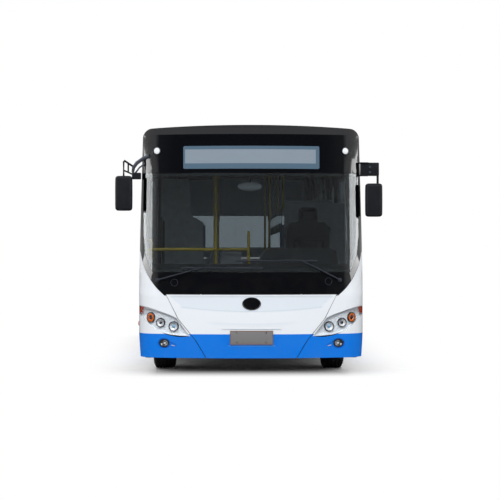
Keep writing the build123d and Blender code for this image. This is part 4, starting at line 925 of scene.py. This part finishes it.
def make_wipers():
    arms, blades = new_meshes(2)
    knob = ((0.0, 0.024), (-0.012, 0.024), (-0.020, 0.020), (-0.034, 0.016), (-0.036, 0.0))
    taper = [0.018 - 0.001 * k for k in range(10)] + [0.007]
    for pivot, end, span, blade_z, joint_x in WIPERS:
        cap = bmesh.new()
        spin(cap, knob, (way_at(pivot[0]), 0.0, pivot[1]), (0, 1, 0), 24)
        wrap_on_nose(cap)
        mesh = bpy.data.meshes.new("wiper cap")
        cap.to_mesh(mesh)
        cap.free()
        arms.from_mesh(mesh)
        line = []
        for k in range(9):
            t = k / 8
            x = pivot[0] + (end[0] - pivot[0]) * t
            z = pivot[1] + (end[1] - pivot[1]) * t
            line.append(nose_place(way_at(x), -0.023 - 0.008 * math.sin(math.pi * t), z))
        for x in (end[0] * 0.6 + joint_x * 0.4, joint_x):
            line.append(nose_place(way_at(x), -0.023, blade_z + 0.006))
        tube(arms, line, taper, 10, 0.5)
        xs = [span[0] + (span[1] - span[0]) * k / 24 for k in range(25)]
        tube(blades, [nose_place(way_at(x), -0.007 - 0.004 * math.sin(math.pi * k / 24), blade_z)
                      for k, x in enumerate(xs)], 0.0075, 8, 0.8)
        tube(blades, [nose_place(way_at(x), -0.0035, blade_z - 0.006) for x in xs], 0.0035, 6, 1.0)
    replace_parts(piece("wiper_arms", arms, WIPER_METAL, "trim_black"), "wipers")
    piece("wiper_blades", blades, WIPER_METAL, "trim_black")
    rings = bmesh.new()
    ring = ((0.0, 0.036), (-0.0015, 0.037), (-0.0015, 0.040), (0.0, 0.041))
    for x, z in ((-0.846, 1.126), (0.847, 1.14)):
        spin(rings, ring, (way_at(x), 0.0, z), (0, 1, 0), 40)
    wrap_on_nose(rings)
    piece("nozzle_rings", rings, WIPER_METAL, "mask_black")


MIRROR_Y = NOSE_Y + 0.34
# Mirror heads: middle x, low z, high z
MIRROR_HEADS = ((-1.417, 1.919, 2.309), (1.369, 1.853, 2.227))
# Bars over the left mirror: points of (x, z), radius
LADDER = ((((-1.419, 2.30), (-1.419, 2.467), (-1.412, 2.479), (-1.317, 2.415)), 0.011),
          (((-1.368, 2.350), (-1.368, 2.446)), 0.009), (((-1.317, 2.325), (-1.317, 2.415)), 0.010),
          (((-1.419, 2.370), (-1.317, 2.325)), 0.009))


def make_mirrors():
    glass, housings, arms, steel = new_meshes(4)
    y = MIRROR_Y
    for x, low, high in MIRROR_HEADS:
        block(housings, (x - 0.0965, y - 0.06, low), (x + 0.0965, y + 0.054, high), 0.036, 4)
        block(glass, (x - 0.084, y + 0.052, low + 0.012), (x + 0.084, y + 0.0585, high - 0.012), 0.003, 2)
    for points, radius in LADDER:
        tube(arms, [(x, y, z) for x, z in points], radius)
    block(arms, (-1.327, y - 0.02, 2.270), (-1.226, y + 0.03, 2.344), 0.010)
    foot = nose_place(way_at(-1.13), 0.002, 2.525)
    bowed = [(-1.317, y, 2.350), (-1.308, y - 0.006, 2.402), (-1.27, y - 0.014, 2.452),
             (-1.20, y - 0.012, 2.502), foot]
    tube(steel, bowed, [0.016, 0.019, 0.021, 0.021, 0.022], 12)
    under = Vector((0.028, -0.004, -0.052))
    stay = [Vector((-1.30, y, 2.335))] + [Vector(point) + under for point in bowed[1:4]]
    tube(steel, stay + [foot + under + Vector((-0.012, 0, 0.01))], 0.009, 10)
    high = MIRROR_HEADS[1][2]
    block(arms, (1.217, y - 0.018, 2.309), (1.428, y + 0.018, 2.459), 0.012)
    for z in (2.307, 2.446):
        block(arms, (1.205, y - 0.032, z), (1.31, y + 0.032, z + 0.015), 0.004)
    tube(arms, ((1.413, y, high - 0.01), (1.413, y, 2.315)), 0.013)
    bolt = ((0.0, 0.015), (-0.003, 0.015), (-0.004, 0.011), (-0.010, 0.011), (-0.012, 0.008), (-0.012, 0.0))
    for z in (2.348, 2.407):
        spin(steel, bolt, (1.325, y - 0.018, z), (0, 1, 0), 6)
    made = piece("mirror_housings", housings, TRIM, "trim_black", rounds=1)
    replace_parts(made, "mirror_left", "mirror_right")
    piece("mirror_glasses", glass, CHROME, "glass")
    piece("mirror_arms", arms, TRIM, "trim_black")
    piece("mirror_tube_and_bolts", steel, MIRROR_TUBE, "trim_black")


# Wheels


def tyre_profile():
    w, out = TYRE_W / 2, TYRE_R
    half = [(w * 0.86, 0.286), (w * 0.97, 0.305), (w, 0.335), (w * 0.995, 0.37), (w, 0.4), (w * 0.985, 0.43),
            (w - 0.012, out - 0.026), (w - 0.02, out - 0.01), (w - 0.034, out - 0.001), (w - 0.058, out),
            (w - 0.061, out - 0.013), (w - 0.069, out - 0.013), (w - 0.072, out), (0.034, out),
            (0.031, out - 0.013), (0.023, out - 0.013), (0.020, out)]
    return [(-a, r) for a, r in half] + [(a, r) for a, r in reversed(half)]


TREAD_STEPS = 180
# Points of the tyre's profile on its shoulders
SHOULDER = (6, 7, 8, 9, 24, 25, 26, 27)


def tread_lift(step, index):
    """Cross grooves in the shoulders and fine cuts in the middle ribs."""
    if index in SHOULDER and step % 5 == 0:
        return -0.009
    if 12 <= index <= 21 and step % 6 == 3:
        return -0.004
    return 0.0


def make_tyre(bm, x, y):
    spin(bm, tyre_profile(), (x, y, TYRE_R), (1, 0, 0), TREAD_STEPS, closed=True, lift=tread_lift)


def wheel_nuts(bm, x, y, side, radius, count, out):
    for k in range(count):
        angle = math.tau * k / count
        place = (x, y + radius * math.cos(angle), TYRE_R + radius * math.sin(angle))
        spin(bm, ((0.0, 0.024), (side * 0.004, 0.024), (side * 0.006, 0.019), (side * 0.026, 0.018),
                  (side * 0.030, 0.014), (side * out, 0.011), (side * out, 0.0)), place, (1, 0, 0), 6)


def make_wheels():
    for side, name in ((-1, "left"), (1, "right")):
        tyre = bmesh.new()
        make_tyre(tyre, side * FRONT_TRACK_HALF, FRONT_AXLE_Y)
        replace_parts(piece("front_tyre_" + name, tyre, TYRE, "tyre", "wheel_front_" + name, sharp=28),
                    "tyre_front_" + name)
        pair = bmesh.new()
        for offset in (-TWIN_OFFSET, TWIN_OFFSET):
            make_tyre(pair, side * TWIN_MID_HALF + offset, REAR_AXLE_Y)
        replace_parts(piece("rear_tyres_" + name, pair, TYRE, "tyre", "wheels_rear_" + name, sharp=28),
                    "tyres_rear_" + name)
        nuts = bmesh.new()
        wheel_nuts(nuts, side * (FRONT_TRACK_HALF + 0.077), FRONT_AXLE_Y, side, 0.155, 10, 0.036)
        piece("front_wheel_nuts_" + name, nuts, STEEL, "rim", "wheel_front_" + name)
        nuts = bmesh.new()
        wheel_nuts(nuts, side * (TWIN_MID_HALF + 0.012), REAR_AXLE_Y, side, 0.165, 10, 0.036)
        piece("rear_wheel_nuts_" + name, nuts, STEEL, "rim", "wheels_rear_" + name)


# Sides


def arch_line(side, y, radius, low_z):
    """Line round a wheel arch on the skin of one side, from its front foot to its back foot."""
    middle_z = (low_z + TYRE_R) / 2
    angles = [math.pi * k / 28 for k in range(29)]
    line = [(y - radius * math.cos(angle), TYRE_R + radius * math.sin(angle)) for angle in angles]
    line = [(y - radius, low_z), (y - radius, middle_z)] + line + [(y + radius, middle_z), (y + radius, low_z)]
    return [(side * (side_half(z) + 0.001), at_y, z) for at_y, z in line]


def make_arch_lips():
    lips = bmesh.new()
    for side in (-1, 1):
        for y, radius in ((FRONT_AXLE_Y, 0.62), (REAR_AXLE_Y, 0.59)):
            tube(lips, arch_line(side, y, radius - 0.004, 0.305), 0.011, 8, up=(side, 0, 0))
    piece("wheel_arch_lips", lips, RUBBER, "trim_black", sharp=80)


# Side marker lamps and hatch locks: side, y, z
SIDE_LAMPS = [(side, y, 0.66) for side in (-1, 1) for y in (-1.75, -0.2, 1.5, 3.35, 4.7)]
SIDE_LAMPS += [(-1, -4.74, 0.66), (1, -4.45, 0.66)]
HATCH_LOCKS = [(side, y, 1.02) for side in (-1, 1) for y in (-1.9, 3.2, 3.95, 4.35, 4.85)]
HATCH_LOCKS += [(1, -4.6, 0.84), (1, -3.9, 0.84), (1, -1.25, 1.02), (1, -0.2, 1.02), (1, 0.35, 1.02),
                (-1, -0.95, 1.02)]


def on_side(side, y, z, out=0.0):
    return Vector((side * (side_half(z) + out), y, z))


def make_side_fittings():
    bases, lenses, locks, slots = new_meshes(4)
    base = ((0.0, 0.036), (0.004, 0.035), (0.007, 0.031), (0.007, 0.0))
    lens = ((0.006, 0.029), (0.012, 0.026), (0.016, 0.018), (0.017, 0.0))
    for side, y, z in SIDE_LAMPS:
        for bm, profile in ((bases, base), (lenses, lens)):
            spin(bm, profile, on_side(side, y, z), (side, 0, 0), 32, flat=(1, 1.7))
    lock = ((-0.002, 0.017), (0.003, 0.017), (0.005, 0.014), (0.005, 0.0))
    half_slot = Vector((0.001, 0.0025, 0.009))
    for side, y, z in HATCH_LOCKS:
        spin(locks, lock, on_side(side, y, z), (side, 0, 0), 24)
        slot = on_side(side, y, z, 0.005)
        block(slots, slot - half_slot, slot + half_slot)
    piece("side_lamp_bases", bases, RUBBER, "trim_black")
    piece("side_lamp_lenses", lenses, AMBER, "lamp_clear")
    piece("hatch_locks", locks, TRIM, "trim_black")
    piece("hatch_lock_slots", slots, STEEL, "trim_black")


# Doors: name, y of the front edge
DOORS = (("front", -4.64), ("middle", 0.15))
DOOR_W = 1.1
# Grab rail of a leaf: height, distance in from the skin
GRAB_RAIL = ((0.9, 0.032), (0.9, 0.07), (0.93, 0.085), (1.25, 0.085), (1.57, 0.085), (1.6, 0.07), (1.6, 0.032))


def make_door_seals():
    """Finger rubber where the leaves meet, and a grab rail inside each leaf."""
    heights = [0.4 + 1.98 * k / 12 for k in range(13)]
    for place, y0 in DOORS:
        for which, side in (("a", -1), ("b", 1)):
            seal, rail = new_meshes(2)
            middle_y = y0 + DOOR_W / 2
            leaf = place + "_" + which
            line = [(0.017 - side_half(z), middle_y + side * 0.006, z) for z in heights]
            tube(seal, line, 0.0035, 8, up=(0, 1, 0))
            piece("door_seal_" + leaf, seal, RUBBER, "trim_black", "door_leaf_" + leaf)
            tube(rail, [(out - side_half(z), middle_y + side * 0.045, z) for z, out in GRAB_RAIL], 0.014, 12,
                 up=(0, 1, 0))
            piece("door_rail_" + leaf, rail, YELLOW, "rail_yellow", "door_leaf_" + leaf)


# Tail


# Face that the rear lamps and the rear plate sit on
TAIL_FACE_Y = 5.2495
# Rear lamps from the bottom: height, colour
REAR_LENSES = ((0.775, "amber"), (0.905, "red"), (1.035, "red"), (1.165, "white"))


def make_rear_lamps():
    """Round lamps one above the other in a black panel."""
    rings = bmesh.new()
    lenses = dict(zip(("amber", "red", "white"), new_meshes(3)))
    ring = ((-0.001, 0.054), (0.003, 0.053), (0.004, 0.049), (0.001, 0.046))
    lens = ((0.001, 0.047), (0.004, 0.040), (0.006, 0.026), (0.0065, 0.0))
    for side in (-1, 1):
        for z, kind in REAR_LENSES:
            centre = (side * 1.005, TAIL_FACE_Y, z)
            spin(rings, ring, centre, (0, 1, 0), 40)
            spin(lenses[kind], lens, centre, (0, 1, 0), 40)
        centre = (side * 0.95, TAIL_FACE_Y, 0.41)
        spin(rings, ((-0.001, 0.038), (0.003, 0.037), (0.001, 0.033)), centre, (0, 1, 0), 32)
        spin(lenses["red"], ((0.001, 0.034), (0.004, 0.030), (0.005, 0.0)), centre, (0, 1, 0), 32)
    piece("rear_lamp_rings", rings, CHROME, "trim_black")
    for kind, finish in (("amber", AMBER), ("red", RED), ("white", CLEAR_LENS)):
        piece("rear_lamp_lenses_" + kind, lenses[kind], finish, "lamp_red" if kind == "red" else "lamp_clear")


def make_rear_plate():
    plate, edge, lamp = new_meshes(3)
    y = TAIL_FACE_Y
    block(plate, (-0.22, y, 0.34), (0.22, y + 0.003, 0.44), 0.001, 2)
    for z in (0.334, 0.439):
        block(edge, (-0.226, y, z), (0.226, y + 0.006, z + 0.007), 0.001, 2)
    for x in (-0.226, 0.219):
        block(edge, (x, y, 0.341), (x + 0.007, y + 0.006, 0.439), 0.001, 2)
    piece("rear_number_plate", plate, PLATE_GREY, "trim_black")
    piece("rear_plate_frame", edge, PLATE_EDGE, "trim_black")
    for x in (-0.12, 0.12):
        block(lamp, (x - 0.03, y, 0.47), (x + 0.03, y + 0.007, 0.49), 0.003, 2)
    piece("rear_plate_lamps", lamp, TRIM, "trim_black")


# Front and back of the wire mesh, behind the engine lid's inner face
MESH_Y = (5.2165, 5.2195)
MESH_PITCH = 0.03
MESH_LOW_Z = 0.65
WIRE_HALF = 0.0012


def make_lid_mesh():
    """Wire mesh behind the louvres, and the lid's two pull handles."""
    near, far = MESH_Y
    mesh, handles = new_meshes(2)
    for x0 in (-0.425, 0.425):
        for k in range(22):
            x = x0 - 0.315 + MESH_PITCH * k
            block(mesh, (x - WIRE_HALF, near, MESH_LOW_Z), (x + WIRE_HALF, far, 1.19))
        for k in range(19):
            z = MESH_LOW_Z + MESH_PITCH * k
            block(mesh, (x0 - 0.32, near, z - WIRE_HALF), (x0 + 0.32, far, z + WIRE_HALF))
    for x in (-0.3, 0.3):
        block(handles, (x - 0.07, 5.2492, 0.585), (x + 0.07, 5.2565, 0.615), 0.003, 2)
    piece("louvre_mesh", mesh, TRIM, "trim_black", "engine_lid")
    piece("lid_handles", handles, TRIM, "trim_black", "engine_lid")


# Roof


AC_Y = 0.2
AC_TOP_Z = 3.0553


def make_fan_grilles():
    """Wire rings on spokes over each fan well."""
    wires = bmesh.new()
    z = AC_TOP_Z - 0.004
    for x in (-0.33, 0.33):
        for y in (AC_Y - 0.62, AC_Y + 0.62):
            for radius in (0.06, 0.09, 0.12, 0.15, 0.18, 0.21):
                spin(wires, oval(0.0025, 0.0025, (0, radius), 6), (x, y, z), (0, 0, 1), 48, closed=True)
            centre = Vector((x, y, z - 0.004))
            for k in range(8):
                angle = math.tau * k / 8
                out = Vector((math.cos(angle), math.sin(angle), 0))
                tube(wires, (centre + out * 0.05, centre + out * 0.2135), 0.003, 6)
    piece("fan_grilles", wires, TRIM, "roof_shell")


# Cabin


# Rail under the ceiling on one side, from front to back: y, z
CEILING_RAIL = ((-3.2, 2.81), (-3.2, 2.06), (-3.16, 2.0), (-3.0, 1.98), (0.0, 1.98), (2.8, 1.98), (2.96, 2.0),
                (3.0, 2.06), (3.0, 2.81))


def make_ceiling():
    lights, rails, holds = new_meshes(3)
    for side in (-1, 1):
        for k in range(7):
            y = -3.9 + 1.25 * k
            block(lights, (side * 0.55 - 0.07, y, 2.79), (side * 0.55 + 0.07, y + 1.1, 2.8155), 0.008, 3)
        x = side * 0.42
        tube(rails, [(x, y, z) for y, z in CEILING_RAIL], 0.016, 12, up=(1, 0, 0))
        for y in (-1.5, 0.0, 1.5):
            tube(rails, ((x, y, 1.985), (x, y, 2.812)), 0.012, 10)
        for k in range(10):
            make_hand_hold(holds, x, -2.75 + 0.6 * k, 1.98)
    piece("ceiling_lights", lights, WHITE_LENS, "lamp_clear")
    piece("ceiling_rails", rails, YELLOW, "rail_yellow")
    piece("hand_holds", holds, DASH, "trim_black")


def make_hand_hold(bm, x, y, z):
    """Moulded handle under a rail: a collar, a flat shank and a rounded triangle."""
    collar = ((-0.02, 0.0165), (-0.02, 0.021), (0.02, 0.021), (0.02, 0.0165))
    spin(bm, collar, (x, y, z), (0, 1, 0), 16, closed=True)
    block(bm, (x - 0.003, y - 0.013, z - 0.15), (x + 0.003, y + 0.013, z - 0.019), 0.002, 2)
    half = ((0.0, 0.15), (0.03, 0.18), (0.06, 0.235), (0.045, 0.255), (0.0, 0.258))
    line = [(x, y - out, z - drop) for out, drop in half]
    line += [(x, y + out, z - drop) for out, drop in half[3::-1]]
    tube(bm, line, 0.009, 8, up=(1, 0, 0))


def make_cabin_mirror():
    shell, face, stalk = new_meshes(3)
    x = -0.014
    back = ((-0.03, 0.0), (-0.028, 0.07), (-0.015, 0.115), (0.0, 0.133), (0.006, 0.132), (0.006, 0.124),
            (0.0, 0.122))
    front = ((0.001, 0.1235), (0.003, 0.08), (0.004, 0.0))
    for bm, profile in ((shell, back), (face, front)):
        spin(bm, profile, (x, -4.86, 2.195), (0, 1, 0), 48, flat=(2, 0.38))
    line = ((-4.865, 2.23), (-4.89, 2.29), (-4.95, 2.345), (-5.122, 2.36))
    tube(stalk, [(x, y, z) for y, z in line], 0.008)
    piece("cabin_mirror", shell, SILVER, "trim_black")
    piece("cabin_mirror_glass", face, CHROME, "glass")
    piece("cabin_mirror_stalk", stalk, TRIM, "trim_black")


# Furthest that the stuffing may move a point
PAD_CAP = 0.014
CHANNEL_DEPTH = 0.008
CHANNEL_HALF = 0.007
SEAM_DEPTH = 0.006
SEAM_HALF = 0.008
# Pads of the seat: name, low corner, high corner, resting face (axis, place, sign), x of each channel
PADS = (("driver_seat_pad", (0.513, -3.885, 0.893), (0.923, -3.525, 0.95), (2, 0.8905, 1), (0.618, 0.818)),
        ("driver_back_pad", (0.523, -3.56, 0.985), (0.913, -3.503, 1.62), (1, -3.5005, -1), (0.618, 0.818)),
        ("driver_head_pad", (0.628, -3.545, 1.845), (0.808, -3.503, 1.975), (1, -3.5005, -1), ()))


def inflate(pad):
    """Blows the pad up as cloth and holds each point within PAD_CAP of where it was."""
    scene = bpy.context.scene
    even = pad.modifiers.new("even mesh", "REMESH")
    even.mode = "VOXEL"
    even.voxel_size = 0.006
    pad.data = bpy.data.meshes.new_from_object(pad.evaluated_get(bpy.context.evaluated_depsgraph_get()))
    pad.modifiers.clear()
    before = [vert.co.copy() for vert in pad.data.vertices]
    cloth = pad.modifiers.new("stuffing", "CLOTH")
    cloth.settings.use_pressure = True
    cloth.settings.uniform_pressure_force = 4
    cloth.settings.effector_weights.gravity = 0
    for step in range(1, 21):
        scene.frame_set(step)
    blown = pad.evaluated_get(bpy.context.evaluated_depsgraph_get()).data
    after = [vert.co.copy() for vert in blown.vertices]
    pad.modifiers.remove(cloth)
    scene.frame_set(1)
    for vert, start, end in zip(pad.data.vertices, before, after):
        way = end - start
        vert.co = start + way * min(PAD_CAP / max(way.length, 1e-6), 1)


def dip(way, half):
    """Share of a groove's depth at a distance from its middle."""
    return math.exp(-((way / half) ** 2))


def make_pads():
    """Cushion, back and headrest of the driver's seat, with stitched channels."""
    for name, low, high, (axis, rest, sign), channels in PADS:
        bm = bmesh.new()
        block(bm, low, high, 0.022, 4)
        pad = piece(name, bm, CUSHION, "seat_dark", sharp=60)
        inflate(pad)
        across = 1 if axis == 2 else 2
        for vert in pad.data.vertices:
            for x in channels:
                vert.co[axis] -= sign * CHANNEL_DEPTH * dip(vert.co.x - x, CHANNEL_HALF)
            away = (vert.co[axis] - rest) * sign
            if away < 0:
                vert.co[axis] = rest
            elif away > 0.02 and channels:
                middle = (low[across] + high[across]) / 2
                vert.co[axis] -= sign * SEAM_DEPTH * dip(vert.co[across] - middle, SEAM_HALF)
        pad.data.shade_smooth()
        smooth = pad.modifiers.new("rounding", "SUBSURF")
        smooth.levels = 1
        smooth.render_levels = 1


def make_driver_things():
    """Instruments and switches on the dashboard, ticket readers and stop buttons on the poles."""
    dials, rims, switches, readers, buttons = new_meshes(5)
    for x, radius in ((0.45, 0.035), (0.55, 0.055), (0.68, 0.055), (0.78, 0.035)):
        spin(dials, ((0.0, radius), (0.0, 0.0)), (x, -4.8508, 1.415), (0, 1, 0), 32)
        rim = ((-0.001, radius), (0.004, radius + 0.002), (-0.001, radius + 0.006))
        spin(rims, rim, (x, -4.851, 1.415), (0, 1, 0), 32)
    for k in range(8):
        block(switches, (0.24 + 0.022 * k, -4.852, 1.37), (0.257 + 0.022 * k, -4.845, 1.395), 0.002, 2)
    for x, y in ((-0.42, -3.3), (-0.42, -0.3), (-0.42, 1.35)):
        block(readers, (x - 0.055, y - 0.09, 1.28), (x + 0.055, y - 0.018, 1.47), 0.012, 3)
    for x, y in ((0.31, -1.25), (0.31, 1.1), (-0.42, -3.3)):
        block(buttons, (x - 0.022, y + 0.0175, 1.3), (x + 0.022, y + 0.035, 1.36), 0.006, 3)
    piece("instrument_dials", dials, DARK_LENS, "lamp_clear")
    piece("instrument_rims", rims, CHROME, "trim_black")
    piece("dash_switches", switches, TRIM, "trim_black")
    piece("ticket_readers", readers, FARE, "fare_box")
    piece("stop_buttons", buttons, RED, "lamp_red")


finish_nodes()
make_camera()
make_studio()
for make in (make_headlamps, make_fog_lamps, make_marker_lamps, make_badge, make_plate, make_seals,
             make_wipers, make_mirrors, make_wheels, make_arch_lips, make_side_fittings, make_door_seals,
             make_rear_lamps, make_rear_plate, make_lid_mesh, make_fan_grilles, make_ceiling,
             make_cabin_mirror, make_driver_things, make_pads):
    make()

bpy.context.scene.view_settings.view_transform = "Standard"
